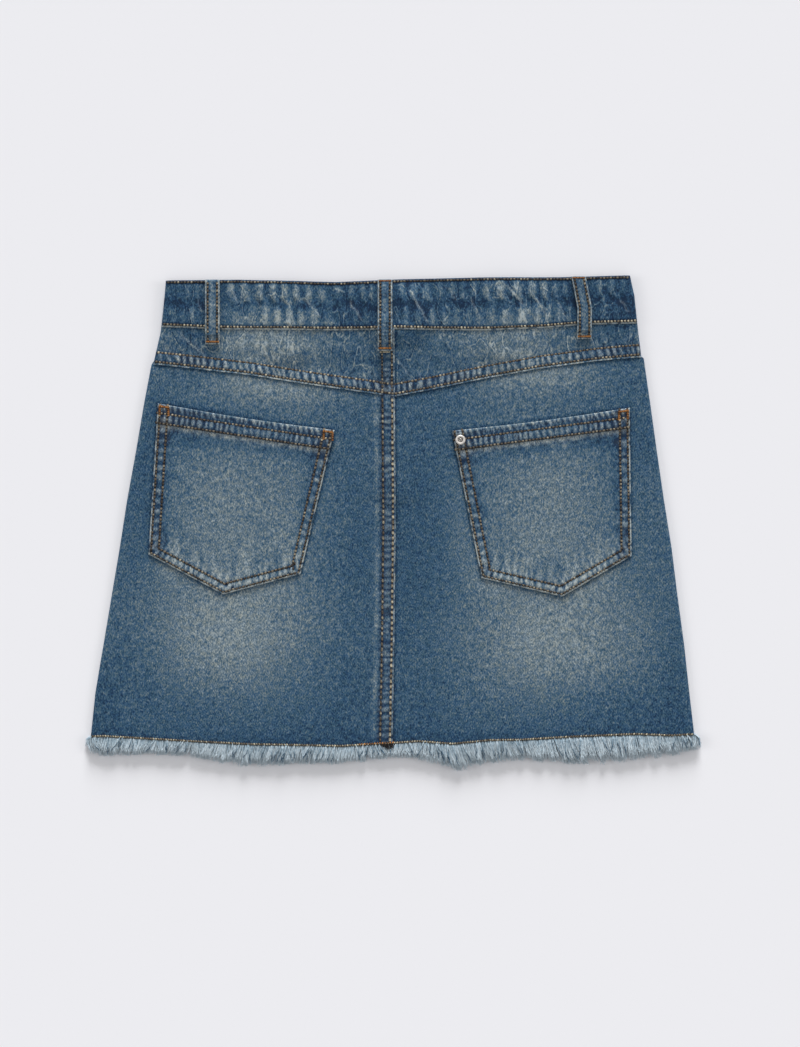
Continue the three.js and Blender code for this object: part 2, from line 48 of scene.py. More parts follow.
# Cloth
DENIM = 1.1
BAND = 2.2
WALL = 0.6  # the wall of each modelled layer
FELL = 0.7
FELL_WIDTH = 9
FELL_RAMP = 1.4
GAP = 0.3
AIR = 0.8
UNDER_MARGIN = 1.2
SIDE_ROUND = 4
# The share of a panel's columns that lie on its rounding, and of each half of the back waistband's
ROUND_SHARE = 0.05
BAND_ROUND_SHARE = 0.02
TUCK = 2  # how far a piece runs on under the one that laps over it


def line_through(*points):
    """A function that reads the straight lines between those points."""
    places, values = zip(*points)
    return lambda at: np.interp(at, places, values)


# The outline at each side, as y and x
left_side = line_through(
    (-146.5, -204.7), (-116, -201.5), (-83.5, -196), (-50.5, -190.5), (-18, -185), (14.5, -180),
    (47.5, -174), (80, -168.5), (106.3, -163.5), (106.9, -162.2), (129, -157), (153.5, -154.4),
    (163.5, -153.6),
)
right_side = line_through(
    (-144.8, 205.4), (-116, 202), (-83.5, 198.5), (-50.5, 194), (-18, 190), (14.5, 184.8), (47.5, 180),
    (80, 175.5), (111.1, 171), (111.7, 169.4), (129, 167.2), (153.5, 164.6), (167, 161.6),
)
# The stitched hem line as x and y, and how far the threads reach below it
hem_line = line_through(
    (-206, -146.2), (-195, -146), (-162, -147.9), (-134, -149.5), (-97, -151.4), (-65, -152),
    (-35, -152.7), (2, -150.6), (18, -149.4), (41, -151.2), (66, -148.7), (88, -148.4), (124, -146.2),
    (166, -144.6), (190, -145.6), (206, -144.6),
)
fray_reach = line_through(
    (-206, 10), (-195, 12.2), (-162, 9.4), (-134, 9.4), (-97, 13.6), (-65, 13), (-35, 11), (2, 8.8),
    (18, 11.4), (41, 15.8), (66, 14), (88, 12.4), (124, 17), (166, 15.6), (190, 12), (206, 10),
)
yoke_edge = line_through(
    (-163.2, 106.8), (-134.5, 103.7), (-96.5, 99.3), (-58.5, 93.2), (-20.4, 87.8), (1.8, 84.7),
    (24.5, 88.9), (62.5, 96.8), (100.5, 103.7), (138.7, 108.8), (168.6, 111.5),
)
waist_seam = line_through(
    (-157, 132), (-115, 130.2), (-39, 129.5), (0, 130), (66, 129.5), (104, 131.2), (128, 133.3),
    (167, 134.3),
)
waist_top = line_through(
    (-154, 163.5), (-104, 164), (-38, 162.4), (4, 164.2), (59, 165.5), (114, 165.7), (162, 167),
)
centre_back = line_through((-152, 0.4), (-80, 1.7), (0, 2.6), (85, 2), (130, 1.6))
CENTRE_FRONT_X = 2
FRONT_DIP = 6
FRONT_INSET = 1

# Gathers of the back waistband
GATHER_PITCH = 8.2
GATHER_HEIGHT = 1.2
GATHER_FROM = -128
GATHER_TO = 144
GATHER_FADE = 26
GATHER_LEAST = 0.3
GATHER_ROW_SHIFT = 0.4
PUFF_LEAST = 0.3

# Low folds of the panels
FOLD_HEIGHT = 0.8
FOLDS = ((0.7, 27, 80, 0.6), (0.3, 15, -46, 2))  # share, across, along, start
FOLD_FADE = (40, 125, 0.8)

# Belt loops: name, x of the middle at top, halfway and foot, and how far the foot is below the waistband
LOOP_WIDTH = 10
LOOP = 1.5
LOOP_ARCH = 0.8
LOOP_LIFT = 0.1
LOOP_ROW = 3.2  # from its middle to each row of stitches
BACK_LOOPS = (
    ("loop_back_left", -121.7, -121.7, -121.7, 10.5),
    ("loop_back_centre", -4.7, -4.7, -4.7, 14.6),
    ("loop_back_right", 126.4, 130.5, 130.4, 9.8),
)
FRONT_LOOPS = (("loop_front_left", -72, 11), ("loop_front_right", 76, 11))

# Pockets: corners from the mouth's left end round the foot
POCKETS = (
    ("pocket_left", (-158.9, 80.2), (-38.9, 62), (-62, -35.8), (-114.4, -49.6), (-165.3, -22.4)),
    ("pocket_right", (40.6, 61.6), (161.3, 77.2), (162.7, -23.5), (115.6, -51.1), (60.6, -38.5)),
)
POCKET_HEM = 14
POCKET_HEM_EXTRA = 0.8
MOUTH_SAG = 1.2
POCKET_EDGE_ROW, POCKET_GAUGE = 1.7, 5.2  # from its edge to the outer row, and on to the inner row
MOUTH_ROWS = (6.5, 13.1)
POCKET_FOOT_PUCKERS = {"strength": 1.15, "fold": 1.75, "pitch": 4.4, "streaks": 0.55, "reach": 5.5}
POCKET_SIDE_PUCKERS = {"strength": 0.8, "fold": 1.75, "pitch": 6.5, "streaks": 0.25, "reach": 2.6}

RIVET_X, RIVET_Y, RIVET_RADIUS = 46.4, 55.3, 3.4
BUTTON_X, BUTTON_RADIUS = 5, 8.2
BAND_END = BUTTON_X + BUTTON_RADIUS + 4  # where the front waistband's halves meet, beyond the button
# Their profiles from the axis and back to it: radius and share of the height
RIVET_PROFILE = (
    (0, 0), (3.3, 0), (3.4, 0.08), (3.4, 0.32), (3.3, 0.52), (3.12, 0.7), (2.8, 0.82), (2.5, 0.85),
    (2.2, 0.8), (1.97, 0.68), (1.8, 0.54), (1.6, 0.5), (1.3, 0.5), (1.12, 0.6), (1.0, 0.82), (0.82, 0.96),
    (0.6, 1), (0, 1),
)
BUTTON_PROFILE = (
    (0, 0.16), (5.3, 0.16), (5.7, 0.12), (6.2, 0.03), (6.5, 0), (7.6, 0), (7.9, 0.08), (8.15, 0.24),
    (8.2, 0.34), (8.1, 0.5), (7.8, 0.6), (5.0, 0.75), (4.4, 0.8), (3.8, 0.94), (3.5, 1), (0, 1),
)
BUTTON_HEIGHT = 2.2
# The zip's tape, chain and slider: length, width, how far below the tape's top, and height
ZIP_PARTS = ((92, 22, 0, 0.6), (88, 4.4, 4, 1.5), (9, 7, 4, 2.3))
TOOTH_PITCH = 1.5

# Sewing
STITCH_PITCH = 2.4
WAIST_PITCH = 2.25
WAIST_ROW, TOP_ROW = 1.9, 1.4  # from the waist seam and from the top edge of the back waistband
FRONT_WAIST_ROW, FRONT_TOP_ROW = 1.3, 2.0
CENTRE_PITCH = 3.6
TACK_PITCH = 0.62
DULL = (0.34, 0.8)  # shades of thread that has gone brown
BRIGHT = (0.6, 0.98)
BROWN = (0.24, 0.74)
CREAM = (0.42, 1.0)
EDGE_ROW = 1.9  # from a felled edge to its first row of stitches
TWIN_GAUGE = 6.4
PUCKER_PITCH = 4.7
PUCKER_HEIGHT = 0.45

# Meshes: columns and rows of each piece of cloth, and threads in each half of the frayed hem
GRIDS = {
    "back_panel": (128, 148), "back_yoke": (190, 42), "back_band": (430, 46), "pocket": (112, 106),
    "back_loop": (16, 84), "front_panel": (66, 72), "front_band": (120, 22), "front_loop": (12, 48),
}
HALVES = (("left", -1), ("right", 1))
BACK_THREADS, FRONT_THREADS = 3000, 1200
THREAD_STEPS = 5
SHADED_SLIT_SHARE = 0.016
WHITE_SHARE = 0.025

# The view and the light. Places are in metres, the lens in millimetres and the lamps' width in degrees.
CAMERA_PLACE = (0.00544, -0.00136, 1.8)
SENSOR_WIDTH, LENS = 36, 91
FLOOR_REACH, FLOOR_Z = 12, -0.0004
SKY = 0.4
LAMP_WIDTH = 24
LAMPS = (
    ("window", (-0.06, -1.0, -0.31), 4.5), ("left lamp", (1.0, 0.0, -0.5), 0.62),
    ("right lamp", (-1.0, 0.0, -0.5), 0.62),
)


def lerp(a, b, t):
    return a + (b - a) * t


def eased(t):
    """From 0 to 1, slowly at both ends."""
    return t * t * (3 - 2 * t)


def smooth(x, low, high):
    return eased(np.clip((np.asarray(x, float) - low) / (high - low), 0, 1))


def crowd(t, share=0.6):
    """Spreads lines from 0 to 1, closer together towards both ends."""
    return lerp(t, eased(t), share)


def scatter(a, b, seed=0.0):
    """Numbers from 0 to 1 that look random but are the same each time."""
    wild = np.sin(np.asarray(a) * 12.9898 + np.asarray(b) * 78.233 + seed * 37.719 + 4.1) * 43758.5453
    return wild - np.floor(wild)


def ripple(x, y, size, seed):
    """Smooth wandering values from -1 to 1, which change over about that size."""
    x, y = np.asarray(x, float) / size, np.asarray(y, float) / size
    i, j = np.floor(x), np.floor(y)
    s, t = eased(x - i), eased(y - j)
    low = lerp(scatter(i, j, seed), scatter(i + 1, j, seed), s)
    high = lerp(scatter(i, j + 1, seed), scatter(i + 1, j + 1, seed), s)
    return 2 * lerp(low, high, t) - 1


def wander(along, size, seed):
    """Smooth wandering values from -1 to 1 along a line."""
    return ripple(along, 0 * along, size, seed)


def bell(distance, width):
    return np.exp(-((np.asarray(distance) / width) ** 2))


def cloud(x, y, size, fine_size, seed, share=0.6):
    """Mottling of two sizes."""
    return ripple(x, y, size, seed) + share * ripple(x, y, fine_size, seed + 1)


def rolled(edge_off, depth, radius):
    """How far cloth sinks where it rolls over at its edge."""
    return depth * (1 - np.sqrt(1 - np.clip(1 - edge_off / radius, 0, 1) ** 2))


def outline(y, side):
    return left_side(y) if side < 0 else right_side(y)


def front_dip(x):
    return FRONT_DIP * (1 - smooth(np.abs(x), 20, 150))


def front_waist_seam(x):
    return waist_seam(x) - front_dip(x)


def front_waist_top(x):
    return waist_top(x) - FRONT_INSET - front_dip(x)


def pushed_up(things, x, y):
    """How far things under the cloth push it up: x, y, half width, half length, height and ramp of each."""
    rise = np.full(np.broadcast(x, y).shape, -np.inf)
    for at_x, at_y, half_width, half_length, height, ramp in things:
        off_x = np.maximum(np.abs(x - at_x) - half_width, 0)
        off_y = np.maximum(np.abs(y - at_y) - half_length, 0)
        rise = np.maximum(rise, height * (1 - smooth(np.hypot(off_x, off_y), UNDER_MARGIN, ramp)))
    return rise


BUTTON_Y = (front_waist_seam(BUTTON_X) + front_waist_top(BUTTON_X)) / 2
ZIP_TOP = front_waist_seam(CENTRE_FRONT_X) - 2.5


def under_front():
    """The button and the front loops, which the skirt lies on, as pushed_up reads them."""
    things = [(BUTTON_X, BUTTON_Y, BUTTON_RADIUS, BUTTON_RADIUS, BUTTON_HEIGHT + GAP, 18)]
    for _, x, foot in FRONT_LOOPS:
        top, low = front_waist_top(x), front_waist_seam(x) - foot
        things.append((x, (top + low) / 2, LOOP_WIDTH / 2, (top - low) / 2, LOOP + GAP, 16))
    return things


UNDER_FRONT = under_front()
BETWEEN = [
    (CENTRE_FRONT_X, ZIP_TOP - below - length / 2, width / 2 + 2, length / 2 + 8, high + 2 * GAP - AIR, 15)
    for length, width, below, high in ZIP_PARTS
]


def lift(x, y):
    return pushed_up(UNDER_FRONT, x, y)


def gather(x, share):
    """The gathers' ridges across the back waistband, from 0 to 1."""
    drift = 0.35 * np.sin(x / 23) + 0.22 * np.sin(x / 9.7 + 1)
    phase = x / GATHER_PITCH + drift + GATHER_ROW_SHIFT * smooth(share, 0.5, 0.66)
    ridge = 0.5 - 0.5 * np.cos(2 * np.pi * phase)
    strength = 0.72 + 0.28 * np.sin(x / 13 + 2 * share)
    begun = smooth(x, GATHER_FROM - GATHER_FADE, GATHER_FROM)
    taper = begun * (1 - smooth(x, GATHER_TO, GATHER_TO + GATHER_FADE))
    near_loop = np.min([np.abs(x - middle) for _, _, middle, _, _ in BACK_LOOPS], axis=0)
    free = smooth(near_loop, LOOP_WIDTH / 2 + 1, LOOP_WIDTH / 2 + 6)
    puff = lerp(PUFF_LEAST, 1, np.abs(np.sin(2 * np.pi * share)))
    return ridge * strength * np.maximum(taper, GATHER_LEAST) * free * puff


def soft_fold(x, y):
    start, end, by = FOLD_FADE
    waves = sum(
        share * (1 + np.sin(x / across + y / along + begin)) / 2 for share, across, along, begin in FOLDS
    )
    return waves * (1 - by * smooth(y, start, end))


def back_inside(x, y):
    """The inner face of the back layer."""
    seam = front_waist_seam(x)
    front_thick = lerp(DENIM, BAND, smooth(y, seam - 24, seam - 3))
    return front_thick + lift(x, y) + pushed_up(BETWEEN, x, y) + AIR + FOLD_HEIGHT * soft_fold(x, y)


def side_seam_z(y):
    return lerp(1.5, 2.5, smooth(y, 96, 132))


def felled(over_edge):
    """How much thicker a felled seam is, by the distance in from its folded edge."""
    return FELL * (1 - smooth(over_edge, FELL_WIDTH - FELL_RAMP, FELL_WIDTH))


# Fading, as brightness over the plain denim. Places are x, y, half width, half height and strength.
PALE_PLACES = (
    (-106, 22, 56, 50, 0.72), (-112, -76, 66, 44, 1.06), (-106, -24, 50, 26, 0.22),
    (104, 18, 50, 52, 0.76), (110, -78, 66, 46, 1.04), (106, -20, 50, 26, 0.16), (-82, 121, 48, 21, 1.0),
    (80, 115, 48, 25, 0.84), (-60, 88, 34, 12, 0.52), (96, 64, 34, 7, 0.25), (128, 98, 22, 14, 0.18),
    (-88, 142, 40, 14, 0.24), (90, 142, 54, 14, 0.24), (-94, 92, 44, 11, 0.46), (102, 98, 34, 11, 0.3),
    (-150, -30, 10, 9, 0.66), (-87, -42, 14, 8, 0.2), (68, -41, 14, 8, 0.58), (128, -42, 14, 8, 0.3),
    (-68, -16, 10, 32, 0.34), (46, 0, 8, 34, 0.24), (62, -24, 9, 14, 0.3), (143, -31, 9, 8, 0.42),
)
DARK_PLACES = (
    (-146, 146, 18, 24, 0.02), (18, -30, 26, 100, 0.24), (-26, -40, 16, 80, 0.2),
    (-128, 124, 12, 24, 0.34), (-30, 118, 24, 26, 0.16), (14, 150, 14, 20, 0.42),
    (0, -156, 260, 20, 0.30), (-185, 10, 12, 80, 0.14), (50, 150, 8, 16, 0.3), (124, 150, 9, 16, 0.3),
    (-166, 14, 9, 46, 0.36), (-158, 66, 10, 20, 0.14), (158, 142, 16, 24, 0.42), (150, 60, 16, 24, 0.14),
    (-26, 148, 10, 18, 0.3), (42, 104, 20, 12, 0.34), (-40, -110, 28, 40, 0.16),
    (-168, -94, 26, 34, 0.26), (150, -124, 60, 16, 0.26), (-136, 50, 24, 10, 0.22),
    (172, 50, 10, 14, 0.22), (76, 142, 7, 9, 0.5), (-196, -118, 12, 34, 0.3), (192, -108, 12, 50, 0.28),
    (-120, -128, 50, 12, 0.12), (-136, 74, 22, 8, 0.34), (109, -34, 10, 8, 0.3),
)
# The hidden front is faded more plainly, over the thighs and along its lower edge
FRONT_PALE_PLACES = (
    (-98, -30, 52, 74, 0.95), (102, -30, 52, 74, 0.95), (-84, 128, 50, 22, 0.3), (88, 128, 50, 22, 0.3),
)
FRONT_DARK_PLACES = ((0, -156, 260, 20, 0.3), (2, 30, 26, 120, 0.24))


def fading(x, y, pale=PALE_PLACES, dark=DARK_PLACES):
    """The tone of the cloth at each place, which is 0 on plain denim."""
    tone = 0.05 * ripple(x, y, 24, 5) + 0.03 * ripple(x, y, 9, 6)
    for places, sign in ((pale, 1), (dark, -1)):
        for at_x, at_y, across, up, strength in places:
            tone = tone + sign * strength * bell((x - at_x) / across, 1) * bell((y - at_y) / up, 1)
    return tone


# Thin creases of the waistband and yoke: where each starts and ends, and its strength
CREASES = (
    (-108, 158, -104, 149, 0.8), (-95, 156, -87, 144, 0.5), (-63, 152, -48, 138, 0.7),
    (-29, 150, -20, 136, 0.8), (-132, 152, -126, 141, 0.5), (12, 158, 26, 134, 0.9),
    (53, 152, 61, 137, 0.7), (77, 161, 90, 147, 0.9), (92, 158, 104, 140, 0.8), (155, 151, 162, 142, 0.7),
    (36, 160, 44, 150, 0.5), (112, 150, 119, 138, 0.5), (-158, 124, -150, 112, 0.5),
    (-144, 129, -129, 114, 0.7), (-134, 124, -126, 111, 0.5), (2, 111, 12, 99, 0.6),
    (97, 128, 104, 118, 0.6), (-70, 126, -60, 112, 0.4), (-34, 122, -26, 110, 0.4),
    (48, 124, 58, 112, 0.4), (112, 57, 118, 50.5, 0.9),
)


class Face:
    """One side of a cloth piece at many places: its height, its tone against plain denim and its wear.

    edge_off is how near an edge lies on it, which sets the painted shadow beside and under that edge, and
    creased is the share of fine wrinkles.
    """

    def __init__(self, z, tone):
        self.z = z
        self.tone = tone
        self.worn = np.zeros(np.shape(z))
        self.edge_off = np.full(np.shape(z), 9.0)
        self.creased = 0.0 * self.worn

    def seam(
        self, along, across, seed, strength, fold, gauge=TWIN_GAUGE, edge_row=EDGE_ROW, lean=0.0,
        pitch=PUCKER_PITCH, streaks=0.3, reach=2.6, pale=0.62,
    ):
        """Two rows of stitches beside a folded edge, with puckers between them.

        fold is how worn the edge is, lean slants the puckers, and streaks run on past the rows by reach.
        """
        middle = np.clip((across - edge_row) / gauge, 0, 1)
        window = np.sin(np.pi * middle) ** 0.6
        tilt = 0.22 * wander(along, 30, seed + 5) + lean
        drift = ripple(along, across / 3, 12, seed) + 0.5 * ripple(along, across / 3, 4, seed + 6)
        phase = (along + tilt * across) / pitch + 0.42 * drift
        ridge = smooth(0.5 + 0.5 * np.cos(2 * np.pi * phase), 0.2, 0.95)
        power = strength * (0.7 + 0.42 * ripple(along, across, 6, seed + 1))
        beyond = np.where(across > edge_row + gauge, np.exp(-(across - edge_row - gauge) / reach), 0)
        lip = np.where(across < edge_row, bell(across - 0.5, 0.75), 0)
        self.z += PUCKER_HEIGHT * ridge * power * (window + streaks * beyond + 0.4 * lip)
        self.worn += power * ridge * (pale * window + streaks * beyond)
        self.worn += fold * lip * np.maximum(0.55 + 1.1 * ripple(along, across, 1.9, seed + 2), 0)
        self.tone -= power * (1 - ridge) * (1.1 * window + streaks * beyond)
        self.groove(across - edge_row)
        self.groove(across - edge_row - gauge)
        return self

    def groove(self, off):
        """The dent that a row of stitches pulls in the cloth, with painted shade along it."""
        self.tone -= 1.15 * bell(off, 1.2)
        self.z -= 0.15 * bell(off, 0.8)
        return self

    def crease(self, x, y):
        """The thin pale creases that show most, listed in CREASES."""
        for start_x, start_y, end_x, end_y, strength in CREASES:
            off, along = edge_distance(x, y, (start_x, start_y), (end_x, end_y))
            length = math.hypot(end_x - start_x, end_y - start_y)
            share = np.clip(along / length, 0, 1)
            bend = 2.4 * (scatter(start_x, start_y) - 0.5) * 4 * share * (1 - share)
            off = off - bend - 0.9 * wander(along, 4.5, start_x)
            ends = smooth(along, -1, 3) * (1 - smooth(along, length - 3, length + 1))
            ridge = strength * bell(off, 0.52) * ends * (0.75 + 0.35 * wander(along, 2.5, start_y))
            self.worn += 0.95 * ridge
            self.z += 0.25 * ridge
            self.tone -= 0.45 * strength * bell(off - 1.7, 1.1) * ends
        return self

    def beside(self, distance):
        """Keeps how near the cloth is to an edge that lies on it, for the painted shadow beside and under
        that edge. It is less than 0 under that edge.
        """
        self.edge_off = np.minimum(self.edge_off, np.where(distance < -3, 9, np.minimum(distance, 9)))
        return self


def edge_distance(x, y, start, end):
    """How far points lie to the left of the line from start to end, and how far along it."""
    run_x, run_y = end[0] - start[0], end[1] - start[1]
    length = math.hypot(run_x, run_y)
    along = ((x - start[0]) * run_x + (y - start[1]) * run_y) / length
    left = (run_x * (y - start[1]) - run_y * (x - start[0])) / length
    return left, along


def pocket_edges(shape, x, y):
    """Distances in from a pocket's mouth and from its other edges, with the place along each."""
    _, top_left, top_right, foot_right, point, foot_left = shape
    mouth = edge_distance(x, y, top_right, top_left)
    rest = [
        edge_distance(x, y, start, end)
        for start, end in (
            (top_left, foot_left), (foot_left, point), (point, foot_right), (foot_right, top_right),
        )
    ]
    return mouth, rest


def panel_face(side, x, y):
    face = Face(back_inside(x, y) + DENIM, fading(x, y))
    over_centre = centre_back(y) - x
    if side < 0:
        face.z += felled(over_centre)
        face.seam(y, over_centre, seed=3, strength=0.85, fold=0.8, streaks=0.5)
        face.tone += 0.95 * bell(over_centre - 12.4, 1.8) * (0.7 + 0.7 * ripple(y, x, 7, 16))
        face.tone -= 0.45 * bell(over_centre - 10.2, 1.5)
        # painted shadow below the yoke's edge
        face.beside(yoke_edge(x) - y)
    else:
        # painted shadow below the yoke's edge and beside the left panel's lapped centre
        face.beside(np.minimum(yoke_edge(x) - y, -over_centre))
    over_hem = y - hem_line(x)
    face.tone -= 0.3 * bell(over_hem, 5)
    # painted shadow around the pockets' edges
    for shape in POCKETS:
        mouth, rest = pocket_edges(shape, x, y)
        face.beside(-np.min([mouth[0]] + [edge[0] for edge in rest], axis=0))
    return face


def yoke_face(side, x, y):
    over_edge = y - yoke_edge(x)
    over_centre = centre_back(y) - x
    nearest = np.minimum(over_edge, over_centre) if side < 0 else over_edge
    face = Face(back_inside(x, y) + DENIM + felled(nearest), fading(x, y))
    face.seam(x, over_edge, seed=8, strength=1.3, lean=0.25 if side < 0 else 0.05, fold=0.95)
    face.tone += 0.22 * cloud(x + 0.4 * y, y, 6, 2.8, 14) * smooth(over_edge, 7, 12)
    if side < 0:
        face.seam(y, over_centre, seed=9, strength=0.6, fold=0.8, streaks=0.6)
    else:
        # painted shadow beside the left yoke's lapped centre
        face.beside(-over_centre)
    face.creased = smooth(over_edge, 7.5, 9.5)
    return face.crease(x, y)


def band_face(x, y):
    over_seam, under_top = y - waist_seam(x), waist_top(x) - y
    share = np.clip(over_seam / (waist_top(x) - waist_seam(x)), 0, 1)
    pull = gather(x, share)
    near_edge = np.minimum(over_seam, under_top)
    sunk = 0.5 * (1 - smooth(over_seam, 0, 4)) + rolled(near_edge, 0.5, 1.1)
    face = Face(back_inside(x, y) + GATHER_HEIGHT * pull + BAND - sunk, fading(x, y))
    middle = 0.5 + 0.1 * wander(x, 7, 23)
    between = bell(share - middle, 0.09) * (0.7 + 0.5 * wander(x, 5, 24))
    uneven = 0.8 + 0.3 * ripple(x + 0.5 * y, y, 9, 25)
    upper = 1 + 0.5 * smooth(share, 0.5, 0.6)
    puffed = smooth(pull * uneven * upper, 0, 0.9)
    face.tone += 1.2 * (puffed - 0.32) - 0.75 * between
    face.tone += 0.11 * cloud(x + 0.3 * y, y, 5.5, 2.6, 26, 0.7)
    face.worn = 0.05 * pull * uneven * (0.8 + 0.6 * ripple(x, y, 3, 21))
    face.groove(over_seam - WAIST_ROW).groove(under_top - TOP_ROW)
    frayed = np.maximum(1.4 + 1.4 * ripple(x, y, 1.9, 22), 0)
    face.worn += bell(over_seam - 0.4, 0.8) * frayed
    face.creased = smooth(near_edge, 2.2, 4)
    return face.crease(x, y)


def pocket_face(shape, x, y):
    """A pocket's face: its turned sides and foot, the folded hem of its mouth, and the shades beside them."""
    under = np.where(x < centre_back(y), panel_height(-1, x, y), panel_height(1, x, y))
    (down, along_mouth), rest = pocket_edges(shape, x, y)
    hem = POCKET_HEM_EXTRA * (1 - smooth(down, POCKET_HEM - 1.2, POCKET_HEM))
    face = Face(under + GAP + DENIM + hem, fading(x, y))
    for number, (distance, along) in enumerate(rest):
        foot = number in (1, 2)
        puckers = POCKET_FOOT_PUCKERS if foot else POCKET_SIDE_PUCKERS
        face.seam(
            along, distance, seed=30 + number, gauge=POCKET_GAUGE, edge_row=POCKET_EDGE_ROW, **puckers,
        )
        if foot:
            face.tone += 0.42 * bell(distance - 4, 4)
    mouth_hem(face, down, along_mouth)
    below_hem = down - POCKET_HEM
    mottled = 0.5 + 0.5 * ripple(x, y, 4.5, 47)
    face.tone -= (0.12 + 0.62 * mottled) * bell(below_hem - 5.5, 4.5)
    off_sides, off_foot = np.minimum(rest[0][0], rest[3][0]), np.minimum(rest[1][0], rest[2][0])
    face.tone -= 0.6 * mottled * bell(off_sides - 9.5, 2.6)
    face.tone += 0.72 * ripple(x, y / 8, 2.7, 44) * bell(off_foot - 13, 8)
    face.z -= rolled(np.minimum(down, np.minimum(off_sides, off_foot)), 0.7, 1.1)
    return face.crease(x, y)


def mouth_hem(face, down, along):
    """The hem of a pocket's mouth: two rows, puckers between them, ropes above and worn tufts below."""
    first, second = MOUTH_ROWS
    face.seam(
        along, down - first + 1.7, seed=40, strength=1.5, fold=0, gauge=second - first, edge_row=1.7,
        pitch=4.0, pale=0.42,
    )
    rope_phase = (along + 0.35 * down) / 3.8 + 0.45 * ripple(along, down / 3, 6, 43)
    rope = 0.5 + 0.5 * np.cos(2 * np.pi * rope_phase)
    face.worn += bell(down - 2.0, 2.1) * rope**2 * (0.9 + 0.5 * ripple(along, down, 9, 45))
    face.worn += bell(down - 0.4, 0.6) * (0.2 + 0.7 * rope)
    face.tone -= 1.8 * (1 - rope) * bell(down - 3.7, 1.8)
    face.z += 0.4 * rope * bell(down - 2, 2)
    below = down - POCKET_HEM
    tufts = 0.5 + 0.5 * ripple(along, down / 3, 1.9, 46)
    face.worn += 0.9 * tufts * bell(below - 1.3, 1.5) + 0.4 * bell(below - 0.6, 0.6)
    face.tone -= 0.5 * (1 - tufts) * bell(below - 2.2, 2.2)


def panel_height(side, x, y):
    """The height of a panel's outer side, without its puckers."""
    height = back_inside(x, y) + DENIM
    return height + felled(centre_back(y) - x) if side < 0 else height


def back_height(x, y):
    """The height of the whole back without pockets, loops and puckers."""
    above = y >= waist_seam(x)
    share = np.clip((y - waist_seam(x)) / (waist_top(x) - waist_seam(x)), 0, 1)
    band = back_inside(x, y) + GATHER_HEIGHT * gather(x, share) + BAND
    yoke = np.where(y > yoke_edge(x), y - yoke_edge(x), np.inf)
    centre = np.where(x < centre_back(y), centre_back(y) - x, np.inf)
    return np.where(above, band, back_inside(x, y) + DENIM + felled(np.minimum(yoke, centre)))


def new_object(name, data):
    thing = bpy.data.objects.new(name, data)
    bpy.context.scene.collection.objects.link(thing)
    return thing


def mesh_of(bm, name):
    """The mesh of a finished bmesh, which is let go."""
    mesh = bpy.data.meshes.new(name)
    bm.to_mesh(mesh)
    bm.free()
    return mesh


def points_of(mesh):
    points = np.empty(len(mesh.vertices) * 3)
    mesh.vertices.foreach_get("co", points)
    return points.reshape(-1, 3)


def finish_mesh(mesh, points, **fields):
    """Gives a mesh its points, in millimetres, and the values that materials read at each of them."""
    mesh.vertices.foreach_set("co", (points * MM).ravel())
    for label, values in fields.items():
        field = mesh.attributes.new(label, "FLOAT", "POINT")
        at_points = np.broadcast_to(values, points.shape[:-1])
        field.data.foreach_set("value", at_points.ravel().astype(np.float32))
    mesh.update()
    mesh.shade_smooth()
    return mesh


def grid(name, kind, place):
    """A sheet of quads whose points are moved by place, from a share across and a share up."""
    columns, rows = GRIDS[kind]
    bm = bmesh.new()
    bmesh.ops.create_grid(bm, x_segments=columns, y_segments=rows, size=0.5)
    if kind.startswith("front"):
        bmesh.ops.reverse_faces(bm, faces=bm.faces)
    mesh = mesh_of(bm, name)
    across, up, _ = points_of(mesh).T + 0.5
    x, y, face = place(across, up)
    fields = {label: getattr(face, label) for label in ("tone", "worn", "edge_off", "creased")}
    return finish_mesh(mesh, np.column_stack([x, y, face.z]), **fields)


def piece(name, mesh, material, nodes=(), wall=0.0):
    """An object in its place that rides on the skirt, with the wall of its cloth where it has one."""
    thing = new_object(name, mesh)
    mesh.materials.append(material)
    if wall:
        solid = thing.modifiers.new("wall", "SOLIDIFY")
        solid.thickness = wall * MM
        solid.offset = -1
    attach(thing, "root")
    if nodes:
        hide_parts(*nodes)
    return thing


def cloth_piece(name, kind, place, node):
    """A piece of cloth, made as a grid with its wall. Its size and the areas of its faces are worked out, but
    nothing uses them.
    """
    mesh = grid(name, kind, place)
    thing = piece(name, mesh, denim, [node], WALL)
    width, length, _ = np.ptp(points_of(mesh), axis=0)
    areas = np.empty(len(mesh.polygons))
    mesh.polygons.foreach_get("area", areas)


def cross(column, row):
    """Where columns and rows meet, as each is a function of the other."""
    y = row(0.0)
    for _ in range(6):
        x = column(y)
        y = row(x)
    return x, y


def side_column(side, u, inner):
    """A column from the side's outline in to its inner edge, and the angle at which the cloth turns there."""
    angle = np.clip(u / ROUND_SHARE, 0, 1) * np.pi / 2
    share = crowd(np.clip((u - ROUND_SHARE) / (1 - ROUND_SHARE), 0, 1))

    def column(y):
        turned_in = outline(y, side) - side * SIDE_ROUND * (1 - np.cos(angle))
        flat = lerp(outline(y, side) - side * SIDE_ROUND, inner(y), share)
        return np.where(u < ROUND_SHARE, turned_in, flat)

    return column, angle


def back_rounding(y, angle, z):
    """The back's height, which comes down to the side seam as the cloth turns there."""
    seam = side_seam_z(y)
    return seam + np.maximum((z - seam) * np.sin(angle), 0.1)


def front_rounding(y, angle, z):
    seam = side_seam_z(y)
    return seam - np.maximum((seam - z) * np.sin(angle), 0.1)


def side_place(side, lower, upper, inner, face_of, rounding):
    """Lays a grid from a side seam to an inner edge, and from a lower line up to another."""

    def place(across, up):
        u = across if side < 0 else 1 - across
        column, angle = side_column(side, u, inner)
        x, y = cross(column, lambda x: lerp(lower(x), upper(x), crowd(up)))
        face = face_of(side, x, y)
        face.z = rounding(y, angle, face.z)
        return x, y, face

    return place


def tucked(line):
    """That line, moved up to where a piece runs on under the next one."""
    return lambda x: line(x) + TUCK


